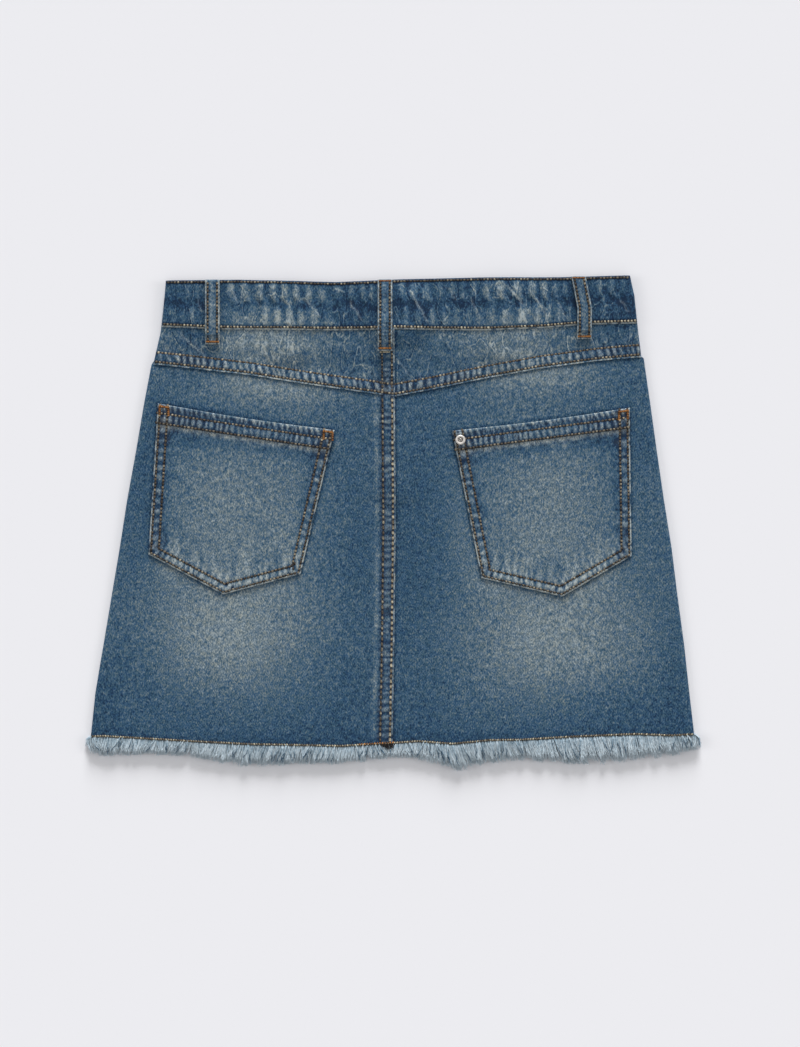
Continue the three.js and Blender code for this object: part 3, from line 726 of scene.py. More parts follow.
def band_place(across, up):
    side = np.where(across < 0.5, -1, 1)
    u = np.minimum(across, 1 - across) / 0.5
    angle = np.clip(u / BAND_ROUND_SHARE, 0, 1) * np.pi / 2
    inner_share = (across - BAND_ROUND_SHARE / 2) / (1 - BAND_ROUND_SHARE)

    def column(y):
        left, right = left_side(y), right_side(y)
        edge = np.where(side < 0, left, right)
        turned_in = edge - side * SIDE_ROUND * (1 - np.cos(angle))
        flat = lerp(left + SIDE_ROUND, right - SIDE_ROUND, np.clip(inner_share, 0, 1))
        return np.where(u < BAND_ROUND_SHARE, turned_in, flat)

    x, y = cross(column, lambda x: lerp(waist_seam(x), waist_top(x), crowd(up)))
    face = band_face(x, y)
    face.z = back_rounding(y, angle, face.z)
    return x, y, face


def front_face(x, y):
    return Face(lift(x, y), fading(x, y, FRONT_PALE_PLACES, FRONT_DARK_PLACES) - 0.1)


def front_panel_face(side, x, y):
    face = front_face(x, y)
    face.seam(y, np.abs(x - CENTRE_FRONT_X), seed=50 + side, strength=0.5, fold=0.5)
    face.z = lift(x, y)
    face.tone -= 0.3 * bell(y - hem_line(x), 5)
    return face


def front_band_face(_, x, y):
    face = front_face(x, y)
    face.groove(y - front_waist_seam(x) - FRONT_WAIST_ROW).groove(front_waist_top(x) - y - FRONT_TOP_ROW)
    face.z = lift(x, y)
    return face


def pocket_place(shape):
    _, top_left, top_right, foot_right, point, foot_left = shape
    turns = (0, (point[0] - foot_left[0]) / (foot_right[0] - foot_left[0]), 1)
    foot_line = (foot_left, point, foot_right)

    def place(across, up):
        s = crowd(across, 0.5)
        down = crowd(1 - up, 0.5)
        mouth_x = lerp(top_left[0], top_right[0], s)
        mouth_y = lerp(top_left[1], top_right[1], s) - MOUTH_SAG * np.sin(np.pi * s)
        foot_x, foot_y = (np.interp(s, turns, [corner[axis] for corner in foot_line]) for axis in (0, 1))
        x, y = lerp(mouth_x, foot_x, down), lerp(mouth_y, foot_y, down)
        return x, y, pocket_face(shape, x, y)

    return place


def loop_middle(loop, share):
    _, top_x, mid_x, foot_x, _ = loop
    return np.interp(share, (0, 0.5, 1), (foot_x, mid_x, top_x))


def loop_ends(loop):
    """The y of a back loop's top and foot."""
    _, top_x, _, foot_x, foot_drop = loop
    return waist_top(top_x) + LOOP_LIFT, waist_seam(foot_x) - foot_drop


def loop_height(loop, y):
    """The height of a back loop's outer side, how far up it that is, and where its middle lies there."""
    top, foot = loop_ends(loop)
    share = np.clip((y - foot) / (top - foot), 0, 1)
    middle = loop_middle(loop, share)
    offsets = (-1, -0.5, 0, 0.5, 1)
    step = (top - foot) / 11
    under = np.max(
        [back_height(middle + a * LOOP_WIDTH / 2, y + b * step) for a in offsets for b in offsets], axis=0,
    )
    return under + GAP + LOOP_ARCH * np.sin(np.pi * share) + LOOP, share, middle


def loop_place(loop):
    top, foot = loop_ends(loop)

    def place(across, up):
        y = lerp(foot, top, crowd(up))
        z, _, middle = loop_height(loop, y)
        offset = (crowd(across, 0.7) - 0.5) * LOOP_WIDTH
        x = middle + offset
        edge = LOOP_WIDTH / 2 - np.abs(offset)
        sunk = rolled(edge, 0.75, 0.9) + rolled(np.minimum(y - foot, top - y), 0.8, 1.2)
        ridge = 0.5 + 0.5 * np.cos(2 * np.pi * (y / 3.4 + 0.12 * offset))
        tone = fading(x, y) + 0.42 + 0.4 * cloud(x, y, 3.4, 7, 63)
        face = Face(z - sunk + 0.08 * ridge, tone).groove(edge - 1.8)
        face.tone -= 0.5 * bell(offset - 0.8, 0.8)
        edges = 1.2 * bell(edge - 0.5, 0.8) * (0.65 + 0.6 * ripple(x, y, 2.0, 61))
        face.worn = edges + 0.22 * ridge * bell(offset, 2.0)
        face.worn += bell(y - foot - 0.4, 0.7) * (0.7 + 0.6 * ripple(x, y, 1.6, 65))
        return x, y, face

    return place


def front_loop_place(x, foot_drop):
    top, foot = front_waist_top(x), front_waist_seam(x) - foot_drop

    def place(across, up):
        offset = (across - 0.5) * LOOP_WIDTH
        y = lerp(foot, top, up)
        side_off = LOOP_WIDTH / 2 - np.abs(offset)
        edge = np.minimum(side_off, np.minimum(y - foot, top - y))
        face = front_face(x + offset, y).groove(side_off - 1.8)
        face.z = rolled(edge, 0.5, 0.9)
        face.worn = bell(edge - 0.4, 0.9) * (0.55 + 0.45 * ripple(offset, y, 2.4, 62))
        return x + offset, y, face

    return place


class Nodes:
    """Lays out a node tree in short calls. A value is a number, a colour or another node's socket."""

    def __init__(self, tree):
        self.tree = tree

    def node(self, kind, values=None, **settings):
        node = self.tree.nodes.new(kind)
        for name, setting in settings.items():
            setattr(node, name, setting)
        for name, value in (values or {}).items():
            self.put(node.inputs[name], value)
        return node

    def put(self, socket, value):
        if isinstance(value, bpy.types.NodeSocket):
            self.tree.links.new(value, socket)
        else:
            socket.default_value = value

    def math(self, operation, a, b=0.0, c=0.0, clamp=False):
        node = self.node("ShaderNodeMath", {0: a, 1: b, 2: c}, operation=operation, use_clamp=clamp)
        return node.outputs[0]

    def times(self, a, b, clamp=False):
        return self.math("MULTIPLY", a, b, clamp=clamp)

    def scaled(self, value, factor, shift, clamp=False):
        return self.math("MULTIPLY_ADD", value, factor, shift, clamp)

    def noise(self, vector, scale, detail, roughness):
        values = {"Vector": vector, "Scale": scale, "Detail": detail, "Roughness": roughness}
        return self.node("ShaderNodeTexNoise", values).outputs["Fac"]

    def stretched(self, vector, scale, turn=0.0):
        values = {"Vector": vector, "Scale": scale, "Rotation": (0, 0, turn)}
        return self.node("ShaderNodeMapping", values).outputs[0]

    def mix(self, factor, a, b, blend="MIX"):
        node = self.node("ShaderNodeMix", data_type="RGBA", blend_type=blend)
        for number, value in ((0, factor), (6, a), (7, b)):
            self.put(node.inputs[number], value)
        return node.outputs[2]

    def ramp(self, factor, stops):
        node = self.node("ShaderNodeValToRGB", {0: factor})
        elements = node.color_ramp.elements
        while len(elements) < len(stops):
            elements.new(1.0)
        for element, (place, color) in zip(elements, stops):
            element.position = place
            element.color = color
        return node.outputs[0]

    def attribute(self, name):
        return self.node("ShaderNodeAttribute", attribute_name=name, attribute_type="GEOMETRY").outputs["Fac"]

    def place_in_mm(self):
        place = self.node("ShaderNodeTexCoord").outputs["Object"]
        return self.node("ShaderNodeMapping", {"Vector": place, "Scale": (1000, 1000, 1000)}).outputs[0]


def screen_color(red, green, blue):
    """A colour as a screen shows it, from 0 to 255, in Blender's linear values."""
    linear = [(c / 255 / 12.92) if c < 10 else ((c / 255 + 0.055) / 1.055) ** 2.4 for c in (red, green, blue)]
    return (*linear, 1.0)


def new_group(name, values_of):
    """A node group that reads a place and gives the named values that are worked out from it."""
    group = bpy.data.node_groups.new(name, "ShaderNodeTree")
    group.interface.new_socket("Place", in_out="INPUT", socket_type="NodeSocketVector")
    nodes = Nodes(group)
    values = values_of(nodes, nodes.node("NodeGroupInput").outputs["Place"])
    for label in values:
        group.interface.new_socket(label, in_out="OUTPUT", socket_type="NodeSocketFloat")
    nodes.node("NodeGroupOutput", values)
    return group


def twill_values(nodes, place):
    """The weave of faded denim: uneven warp threads, slanted twill lines and pale slubs."""
    slanted = nodes.stretched(place, (1.0, 0.6, 1.0), math.radians(-40))
    grain = nodes.noise(slanted, 1.15, 2.2, 0.65)
    slub = nodes.noise(nodes.stretched(place, (1.0, 0.7, 1.0)), 0.5, 2.0, 0.6)
    patch = nodes.noise(place, 0.26, 2.0, 0.55)
    lines = nodes.stretched(place, (1, 1, 0), math.radians(28))
    values = {"Vector": lines, "Scale": 0.33, "Distortion": 1.6, "Detail": 2.0, "Detail Scale": 1.2}
    wave = nodes.node("ShaderNodeTexWave", values, wave_type="BANDS", bands_direction="X")
    wale = wave.outputs["Fac"]
    speckle = 0.0
    for part, strength in ((grain, 4.7), (slub, 1.0), (patch, 1.3), (wale, 0.3)):
        uneven = nodes.scaled(part, strength, -strength / 2)
        speckle = nodes.math("ADD", uneven, speckle)
    height = nodes.math("ADD", nodes.times(grain, 0.6), nodes.times(wale, 0.4))
    return {"Speckle": speckle, "Height": height}


def new_material(name):
    material = bpy.data.materials.new(name)
    material.use_nodes = True
    material.node_tree.nodes.clear()
    nodes = Nodes(material.node_tree)
    surface = nodes.node("ShaderNodeBsdfPrincipled")
    out = nodes.node("ShaderNodeOutputMaterial")
    nodes.put(out.inputs["Surface"], surface.outputs[0])
    return material, nodes, surface


def dress(nodes, surface, color, roughness, height, strength, distance, specular=0.5):
    """Gives a surface its colour and roughness, and bumps from a height of 0 to 1 over that distance."""
    bump = nodes.node("ShaderNodeBump", {"Height": height, "Strength": strength, "Distance": distance})
    looks = {
        "Base Color": color, "Roughness": roughness, "Specular IOR Level": specular,
        "Normal": bump.outputs[0],
    }
    for name, value in looks.items():
        nodes.put(surface.inputs[name], value)


DENIM_COLORS = (
    (0.0, screen_color(22, 42, 66)),
    (0.2, screen_color(36, 67, 94)),
    (0.4, screen_color(57, 88, 111)),
    (0.6, screen_color(92, 109, 121)),
    (0.8, screen_color(124, 137, 142)),
    (1.0, screen_color(158, 167, 168)),
)


def level_line(nodes, wave, level, width, there):
    """A thin line where the wave passes that level, in the places where there is more than 0."""
    off = nodes.math("ABSOLUTE", nodes.math("SUBTRACT", wave, level))
    line = nodes.scaled(off, -1 / width, 1.0, clamp=True)
    return nodes.times(line, there)


def wrinkle_values(nodes, place):
    """Fine broken crease lines that wander across the cloth, pale on top and dark beside."""
    pale, dark = 0.0, 0.0
    for turn, along in ((-36, 0.35), (72, 0.45)):
        slanted = nodes.stretched(place, (1.0, along, 1.0), math.radians(turn))
        wave = nodes.noise(slanted, 0.10, 1.2, 0.5)
        there = nodes.scaled(nodes.noise(slanted, 0.12, 1.0, 0.5), 9.0, -3.9, clamp=True)
        pale = nodes.math("MAXIMUM", level_line(nodes, wave, 0.5, 0.022, there), pale)
        dark = nodes.math("MAXIMUM", level_line(nodes, wave, 0.47, 0.035, there), dark)
    return {"Pale": pale, "Dark": dark}


def denim_material(twill, wrinkle):
    material, nodes, surface = new_material("faded denim")
    place = nodes.place_in_mm()
    wrinkles = nodes.node("ShaderNodeGroup", {"Place": place}, node_tree=wrinkle)
    weave = nodes.node("ShaderNodeGroup", {"Place": place}, node_tree=twill)
    tone = nodes.attribute("tone")
    worn = nodes.attribute("worn")
    speckled = nodes.scaled(weave.outputs["Speckle"], 0.34, 0.36)
    value = nodes.scaled(tone, 0.34, speckled)
    # Painted shadow beside and under the edges that lie on the cloth, read from edge_off and broken up by
    # noise
    off = nodes.math("MAXIMUM", nodes.attribute("edge_off"), 0.0)
    uneven = nodes.scaled(nodes.noise(place, 0.35, 2.0, 0.6), 0.9, 0.45)
    beside = nodes.math("EXPONENT", nodes.times(nodes.math("POWER", off, 2.0), -0.55))
    value = nodes.scaled(nodes.times(beside, uneven), -0.22, value)
    creased = nodes.attribute("creased")
    pale_lines = nodes.times(wrinkles.outputs["Pale"], creased)
    dark_lines = nodes.times(wrinkles.outputs["Dark"], creased)
    value = nodes.scaled(pale_lines, 0.36, value)
    value = nodes.scaled(dark_lines, -0.18, value)
    uncovered = nodes.scaled(weave.outputs["Speckle"], 0.5, 0.8)
    broken = nodes.times(worn, uncovered, clamp=True)
    value = nodes.scaled(broken, 0.4, value, clamp=True)
    color = nodes.ramp(value, DENIM_COLORS)
    color = nodes.mix(nodes.times(broken, 0.5), color, screen_color(190, 195, 190))
    tint = nodes.noise(place, 0.4, 1.5, 0.6)
    warm = nodes.mix(1.0, color, (1.05, 1.0, 0.93, 1.0), "MULTIPLY")
    cool = nodes.mix(1.0, color, (0.93, 0.99, 1.08, 1.0), "MULTIPLY")
    color = nodes.mix(nodes.scaled(tint, 3.0, -1.0, clamp=True), warm, cool)
    height = nodes.math("ADD", weave.outputs["Height"], pale_lines)
    dress(nodes, surface, color, 0.92, height, 0.5, 0.00025, 0.18)
    return material


def thread_material(name, colors, scale=0.9):
    """Sewing or frayed thread, which changes along its length and from one thread to the next."""
    material, nodes, surface = new_material(name)
    mottle = nodes.noise(nodes.place_in_mm(), scale, 2.0, 0.6)
    value = nodes.math("ADD", nodes.attribute("shade"), nodes.scaled(mottle, 0.9, -0.45))
    stops = [(place, screen_color(*color)) for place, color in zip((0.1, 0.5, 0.95), colors)]
    dress(nodes, surface, nodes.ramp(value, stops), 0.85, mottle, 0.4, 0.0001, 0.2)
    return material


def metal_material(name, base, roughness, metallic, hollow=0.0):
    """Worn metal. The hollow is how dark the dirt lies inside the rivet's ring."""
    material, nodes, surface = new_material(name)
    place = nodes.place_in_mm()
    scratch = nodes.noise(nodes.stretched(place, (4, 0.6, 1), 0.6), 1.6, 3.0, 0.6)
    dull = nodes.noise(place, 0.8, 2.0, 0.5)
    color = nodes.mix(nodes.times(dull, 0.4), base, screen_color(110, 108, 104))
    if hollow:
        values = {"Vector": place, "Location": (-RIVET_X, -RIVET_Y, 0), "Scale": (1, 1, 0)}
        flat = nodes.node("ShaderNodeMapping", values)
        off = nodes.node("ShaderNodeVectorMath", {0: flat.outputs[0]}, operation="LENGTH").outputs["Value"]
        inside = nodes.scaled(off, -1.6, 1.6 * 0.62 * RIVET_RADIUS, clamp=True)
        specks = nodes.scaled(nodes.noise(place, 1.1, 2.0, 0.6), 5.0, -1.9, clamp=True)
        dirt = nodes.times(nodes.times(inside, specks), hollow)
        color = nodes.mix(dirt, color, screen_color(44, 40, 38))
    rough = nodes.scaled(scratch, 0.3, roughness - 0.1)
    dress(nodes, surface, color, rough, scratch, 0.2, 0.00005)
    surface.inputs["Metallic"].default_value = metallic
    return material


def tape_material(twill):
    material, nodes, surface = new_material("zip tape")
    weave = nodes.node("ShaderNodeGroup", {"Place": nodes.place_in_mm()}, node_tree=twill)
    stops = ((0.0, screen_color(22, 33, 52)), (1.0, screen_color(48, 62, 84)))
    color = nodes.ramp(nodes.math("ADD", weave.outputs["Speckle"], 0.5), stops)
    dress(nodes, surface, color, 0.85, weave.outputs["Height"], 0.4, 0.0002)
    return material


def copies(name, shape, count):
    """One mesh of that many copies of a small shape, and the shape's own points."""
    first = new_object(name, shape)
    array = first.modifiers.new("copies", "ARRAY")
    array.count = count
    array.use_relative_offset = False
    bpy.context.view_layer.update()
    seen = first.evaluated_get(bpy.context.evaluated_depsgraph_get())
    mesh = bpy.data.meshes.new_from_object(seen)
    mesh.name = name
    bpy.data.objects.remove(first)
    return mesh, points_of(shape)


def stitch_shape():
    """A short thick thread whose ends dive into the cloth, one unit long, wide and high."""
    bm = bmesh.new()
    bmesh.ops.create_uvsphere(bm, u_segments=6, v_segments=5, radius=0.5)
    for v in bm.verts:
        v.co = Vector((v.co.z, v.co.y, -v.co.x))
        if abs(v.co.x) > 0.3:
            v.co.y *= 1.3
            v.co.z *= 1.3
        v.co.z -= 0.7 * v.co.x**2
    bmesh.ops.recalc_face_normals(bm, faces=bm.faces)
    return mesh_of(bm, "stitch")


class Sewing:
    """Stitches gathered from all over the skirt, which become one mesh of one thread."""

    def __init__(self):
        self.rows = []

    def stitch(self, x, y, z, turn, rise, length, width, height, shade):
        columns = np.broadcast_arrays(x, y, z, turn, rise, length, width, height, shade)
        self.rows.append(np.column_stack([np.ravel(column) for column in columns]))

    def row(
        self, path, height_of, seed, shade, pitch=STITCH_PITCH, length=None, width=1.85, lean=0.12, proud=0.1,
    ):
        """Stitches end to end along a path of points, which stand proud of the cloth."""
        path = np.asarray(path, float)
        length = length or 1.06 * pitch
        steps = np.hypot(*np.diff(path, axis=0).T)
        run = np.concatenate([[0], np.cumsum(steps)])
        count = max(1, int(run[-1] / pitch))
        n = np.arange(count)
        middles = (n + 0.5) * run[-1] / count
        half = length / 2
        x, y, x0, y0, x1, y1 = (
            np.interp(middles + off, run, path[:, axis]) for off in (0, -half, half) for axis in (0, 1)
        )
        wobble = 0.12 * (scatter(n, seed, 1) - 0.5)
        z = height_of(x, y)
        rise = (height_of(x1, y1) - height_of(x0, y0)) / length
        turn = np.arctan2(y1 - y0, x1 - x0) + lean + wobble
        shade = lerp(*shade, scatter(n, seed, 2))
        long = length * (0.88 + 0.2 * scatter(n, seed, 3))
        self.stitch(x, y, z + proud, turn, rise, long, width, 0.8, shade)

    def bar_tack(self, x, y, length, width, turn, height_of, seed):
        """Close stitches across a short bar, which is length long and width wide."""
        count = int(length / TACK_PITCH)
        n = np.arange(count)
        along = (n + 0.5) / count * length - length / 2
        x, y = x + along * np.cos(turn), y + along * np.sin(turn)
        z = np.max(height_of(x, y))
        lean = turn + np.pi / 2 + 0.22 * (-1.0) ** n
        self.stitch(x, y, z + 0.18, lean, 0, width, 0.66, 0.6, 1.1 - 0.75 * scatter(n, seed, 4))

    def mesh(self, name, shape):
        table = np.concatenate(self.rows)
        mesh, local = copies(name, shape, len(table))
        x, y, z, turn, rise, length, width, high, shade = [column[:, None] for column in table.T]
        a, b, c = (local[None, :, axis] * size for axis, size in enumerate((length, width, high)))
        across = x + a * np.cos(turn) - b * np.sin(turn)
        up = y + a * np.sin(turn) + b * np.cos(turn)
        # painted shade towards each stitch's ends, where the thread dives into the cloth
        shaded_stitch_ends = 1 - 5.0 * local[None, :, 0] ** 2
        points = np.stack([across, up, z + c + a * rise], axis=2)
        return finish_mesh(mesh, points, shade=shade * shaded_stitch_ends)


def line_of(xs, ys):
    return np.column_stack(np.broadcast_arrays(xs, ys))


def inset(corners, distance):
    """An open path moved in to its left by that distance, with its corners kept."""
    corners = np.array(corners, float)
    runs = np.diff(corners, axis=0)
    runs = runs / np.linalg.norm(runs, axis=1)[:, None]
    shift = np.column_stack([-runs[:, 1], runs[:, 0]]) * distance
    starts = corners[:-1] + shift
    points = [starts[0]]
    for a, run_a, b, run_b in zip(starts, runs, starts[1:], runs[1:]):
        along = np.linalg.solve(np.column_stack([run_a, -run_b]), b - a)[0]
        points.append(a + run_a * along)
    return np.array([*points, corners[-1] + shift[-1]])


def outer_height(x, y):
    """The height of the whole back with its puckers, for what is sewn on it."""
    left = x < centre_back(y)
    panel = np.where(left, panel_face(-1, x, y).z, panel_face(1, x, y).z)
    yoke = np.where(left, yoke_face(-1, x, y).z, yoke_face(1, x, y).z)
    below_band = np.where(y > yoke_edge(x), yoke, panel)
    return np.where(y > waist_seam(x), band_face(x, y).z, below_band)


def pocket_height(shape):
    """A function that reads the height of that pocket's face."""
    return lambda x, y: pocket_face(shape, x, y).z


def strip_height(loop):
    """A function that reads the height of that back loop's outer side."""
    return lambda x, y: loop_height(loop, y)[0]


def sew_back(sewing):
    """All rows of stitches on the back, at the places where the photograph shows them."""
    x = np.linspace(-155.5, 166, 200)
    path = line_of(x, waist_seam(x) + WAIST_ROW)
    sewing.row(path, outer_height, 1, CREAM, pitch=WAIST_PITCH, width=1.8)
    x = np.linspace(-152.8, 160.8, 200)
    path = line_of(x, waist_top(x) - TOP_ROW)
    sewing.row(path, outer_height, 2, BROWN, pitch=WAIST_PITCH, width=1.5, proud=0.25)
    for over, centre_shade in ((EDGE_ROW, BRIGHT), (EDGE_ROW + TWIN_GAUGE, DULL)):
        start, end = outline(yoke_edge(-162) + over, -1) + 0.8, outline(yoke_edge(168) + over, 1) - 0.8
        x = np.linspace(start, end, 200)
        sewing.row(line_of(x, yoke_edge(x) + over), outer_height, 3 + over, DULL)
        y = np.linspace(-150, 84, 120)
        path = line_of(centre_back(y) - over, y)
        sewing.row(path, outer_height, 5 + over, centre_shade, pitch=CENTRE_PITCH, width=1.7)
        y = np.linspace(88, 129, 20)
        sewing.row(line_of(centre_back(y) - over, y), outer_height, 6 + over, DULL, width=1.5)


def sew_pockets(sewing):
    for number, shape in enumerate(POCKETS):
        _, top_left, top_right, foot_right, point, foot_left = shape
        height = pocket_height(shape)
        around = (top_left, foot_left, point, foot_right, top_right)
        for over, seed in ((POCKET_EDGE_ROW, 20), (POCKET_EDGE_ROW + POCKET_GAUGE, 24)):
            sewing.row(inset(around, over), height, seed + number, BROWN, width=1.7)
        if number == 0:
            hook = [(foot_right[0] - 3.6, foot_right[1] + 9), (foot_right[0] - 5.4, foot_right[1] + 2.4)]
            sewing.row(hook, height, 26, BROWN, width=1.5)
        for over in MOUTH_ROWS:
            mouth = inset((top_right, top_left), over)
            mouth[0] = lerp(mouth[0], mouth[1], 0.012)
            sewing.row(mouth, height, 28 + number + over, BROWN, width=1.7)


def sew_loops(sewing):
    """The two rows of each back loop, and the pale threads that stick out of the middle loop's foot."""
    for number, loop in enumerate(BACK_LOOPS):
        top, foot = loop_ends(loop)
        y = np.linspace(foot + 2.5, top - 1.5, 30)
        middle = loop_middle(loop, (y - foot) / (top - foot))
        for offset in (-LOOP_ROW, LOOP_ROW):
            path = line_of(middle + offset, y)
            sewing.row(path, strip_height(loop), 60 + number + offset, BROWN, width=1.65)
        if number == 1:
            x = np.linspace(middle[0] - 3.6, middle[0] + 3.2, 8)
            path = line_of(x, foot - 0.5)
            sewing.row(path, outer_height, 70, (1.3, 1.9), pitch=0.9, length=1.7, width=0.8, lean=1.3)


def sew_hem(sewing):
    """The slanted stitches that hold the frayed edge, and dark threads at the foot of the centre seam."""
    for side in (-1, 1):
        x = np.linspace(outline(-147, side) - side * 0.8, centre_back(-150) + side * 0.6, 160)
        for over, seed, shade, pitch, length, width, lean, proud in (
            (0.4, 50, (0.4, 1.0), 1.7, 2.3, 1.1, 0.7, 0.3), (0.1, 54, (0.16, 0.66), 1.2, 1.9, 1.0, -0.4, 0.1),
        ):
            path = line_of(x, hem_line(x) + over)
            sewing.row(path, outer_height, seed + side, shade, pitch, length, width, side * lean, proud)
    for drop, start, end in ((0.6, -9, 2.2), (1.5, -6.5, 1.6), (2.4, -4.6, 0.8), (3.3, -3.2, -0.6)):
        x = np.linspace(start, end, 12)
        path = line_of(x, hem_line(x) - drop)
        sewing.row(path, hem_height, 57 + drop, (-0.2, 0.3), pitch=1.1, width=1.3, lean=1.2)


def hem_height(x, _):
    """The height of the back's lower edge, also for what hangs below it."""
    return outer_height(x, hem_line(x) + 0.5)


def sew_tacks(tacks):
    """Bar tacks at the pockets' corners and at both ends of the belt loops, and the seam's end at the hem."""
    x = np.linspace(-23, 1.5, 30)
    path = line_of(x, hem_line(x) + 0.7)
    tacks.row(path, outer_height, 88, (0.3, 1.3), pitch=1.7, length=1.7, width=1.1, lean=0.8, proud=0.5)
    for number, shape in enumerate(POCKETS):
        _, top_left, top_right, _, _, _ = shape
        slope = (top_right[1] - top_left[1]) / (top_right[0] - top_left[0])
        corners = [(top_right, -1)]
        if shape[0] != "pocket_right":  # the rivet holds that pocket's left corner
            corners.append((top_left, 1))
        for corner, inward in corners:
            for off, below, length, turn, seed in (
                (4.4, 1.8, 7, math.atan(slope), 90 + number), (1.4, 4.6, 6, math.pi / 2, 94.4),
                (7.4, 4.6, 6, math.pi / 2, 100.4),
            ):
                at_x, at_y = corner[0] + inward * off, corner[1] - below + inward * off * slope
                tacks.bar_tack(at_x, at_y, length, 2.0, turn, pocket_height(shape), seed)
    for number, loop in enumerate(BACK_LOOPS):
        _, top_x, _, foot_x, _ = loop
        top, foot = loop_ends(loop)
        tacks.bar_tack(foot_x, foot + 1.9, 9.0, 1.9, 0, strip_height(loop), 100 + number)
        if number > 0:
            tacks.bar_tack(top_x, top - 1.0, 8.6, 1.3, 0, strip_height(loop), 104 + number)


def sew_front(sewing):
    x = np.linspace(-152, 161, 160)
    rows = [
        line_of(x, front_waist_seam(x) + FRONT_WAIST_ROW), line_of(x, front_waist_top(x) - FRONT_TOP_ROW),
    ]
    x = np.linspace(-202, 202, 300)
    rows.append(line_of(x, hem_line(x) + 0.4))
    y = np.linspace(-148, ZIP_TOP - 2, 160)
    for over in (EDGE_ROW, EDGE_ROW + TWIN_GAUGE):
        rows += [line_of(CENTRE_FRONT_X + side * over, y) for side in (-1, 1)]
    for number, path in enumerate(rows):
        sewing.row(path, lift, 80 + number, DULL, width=1.5, proud=0)
    for number, (_, x, foot_drop) in enumerate(FRONT_LOOPS):
        y = np.linspace(front_waist_seam(x) - foot_drop + 2, front_waist_top(x) - 2, 30)
        for offset in (-LOOP_ROW, LOOP_ROW):
            path = line_of(x + offset, y)
            sewing.row(path, lambda x, y: 0 * x, 87 + number + offset, BROWN, width=1.5, proud=0.3)


def thread_shape():
    """A thin three-sided thread along Z from 0 to 1."""
    bm = bmesh.new()
    bmesh.ops.create_circle(bm, cap_ends=False, segments=3, radius=0.5)
    loop = list(bm.edges)
    for _ in range(THREAD_STEPS):
        made = bmesh.ops.extrude_edge_only(bm, edges=loop)
        loop = [part for part in made["geom"] if isinstance(part, bmesh.types.BMEdge)]
        fresh = [part for part in made["geom"] if isinstance(part, bmesh.types.BMVert)]
        bmesh.ops.translate(bm, verts=fresh, vec=(0, 0, 1 / THREAD_STEPS))
    bmesh.ops.holes_fill(bm, edges=bm.edges)
    bmesh.ops.recalc_face_normals(bm, faces=bm.faces)
    return mesh_of(bm, "thread")


def fringe(name, side, count, root_z, tip_z, shorter, seed, shape):
    """Frayed threads along one half of the hem, curled and leaning in tufts.

    A few are slits, thick dark threads that lean far: painted shade that stands for gaps between the threads.
    """
    mesh, local = copies(name, shape, count)
    thread_x, thread_y, t = local.T[:, None, :]
    n = np.arange(count)[:, None]

    def chance(number):
        return scatter(n, number, seed)

    edge = outline(-148, side)
    root_x = lerp(edge, centre_back(-150) + side * 0.2, (n + chance(1)) / count)
    from_edge = np.abs(root_x - edge)
    shaded_slit = chance(11) < SHADED_SLIT_SHARE
    tuft = 2.8 * wander(root_x, 4.6, seed + 1) + 2.4 * wander(root_x, 1.9, seed + 2)
    drift = side * 3.6 * smooth(from_edge, 0, 14) * smooth(np.abs(root_x), 10, 50)
    lean = drift + 0.85 * tuft + np.where(shaded_slit, 10, 4.0) * (chance(2) - 0.5)
    bulge = side * 2.6 * (1 - smooth(from_edge, 0, 10))
    uneven = lerp(0.6, 1.06, chance(3) ** 0.4) * (1 + 0.12 * wander(root_x, 3.2, seed + 3))
    reach = (fray_reach(root_x) - shorter) * uneven
    curl = lerp(0.2, 1.25, chance(4) ** 1.4) * t
    phase = 2 * np.pi * (lerp(0.8, 3.2, chance(5)) * t + 0.6 * chance(6) + wander(root_x, 3.0, seed + 4))
    thick = 2 * np.where(shaded_slit, 0.45, lerp(0.17, 0.42, chance(7))) * (1 - 0.35 * t)
    layer = np.where(shaded_slit, 1.2, chance(8))
    x = root_x + bulge * np.sin(np.pi * t**0.7) + lean * t**1.3 + curl * np.sin(phase) + thread_x * thick
    y = hem_line(root_x) + 0.6 - (reach + 0.6) * t
    low = lerp(root_z(root_x), tip_z, smooth(t, 0.1, 0.9)) + layer * lerp(0.9, 2.0, t)
    z = np.maximum(low + 0.5 * curl * np.cos(phase) + thread_y * thick, 0.06)
    shades = 0.33 + 0.28 * chance(9) + 0.16 * layer + 0.07 * wander(root_x, 2.6, seed + 6)
    shades = np.where(chance(10) > 1 - WHITE_SHARE, 0.95, shades)
    # painted shade along the slits' middles, for the gaps
    dark = shaded_slit * smooth(t, 0.3, 0.5) * (1 - smooth(t, 0.85, 1))
    # painted light: each thread is paler towards its tip, against the shade that the tips lie in
    return finish_mesh(mesh, np.stack([x, y, z], axis=2), shade=lerp(shades + 0.6 * t - 0.06, 0.12, dark))


def tooth_shape():
    """A rounded block, one unit long, wide and high."""
    bm = bmesh.new()
    bmesh.ops.create_cube(bm, size=1)
    bmesh.ops.bevel(
        bm, geom=bm.edges, offset=0.14, offset_type="OFFSET", affect="EDGES", segments=2, profile=0.5,
        material=-1,
    )
    return mesh_of(bm, "tooth")


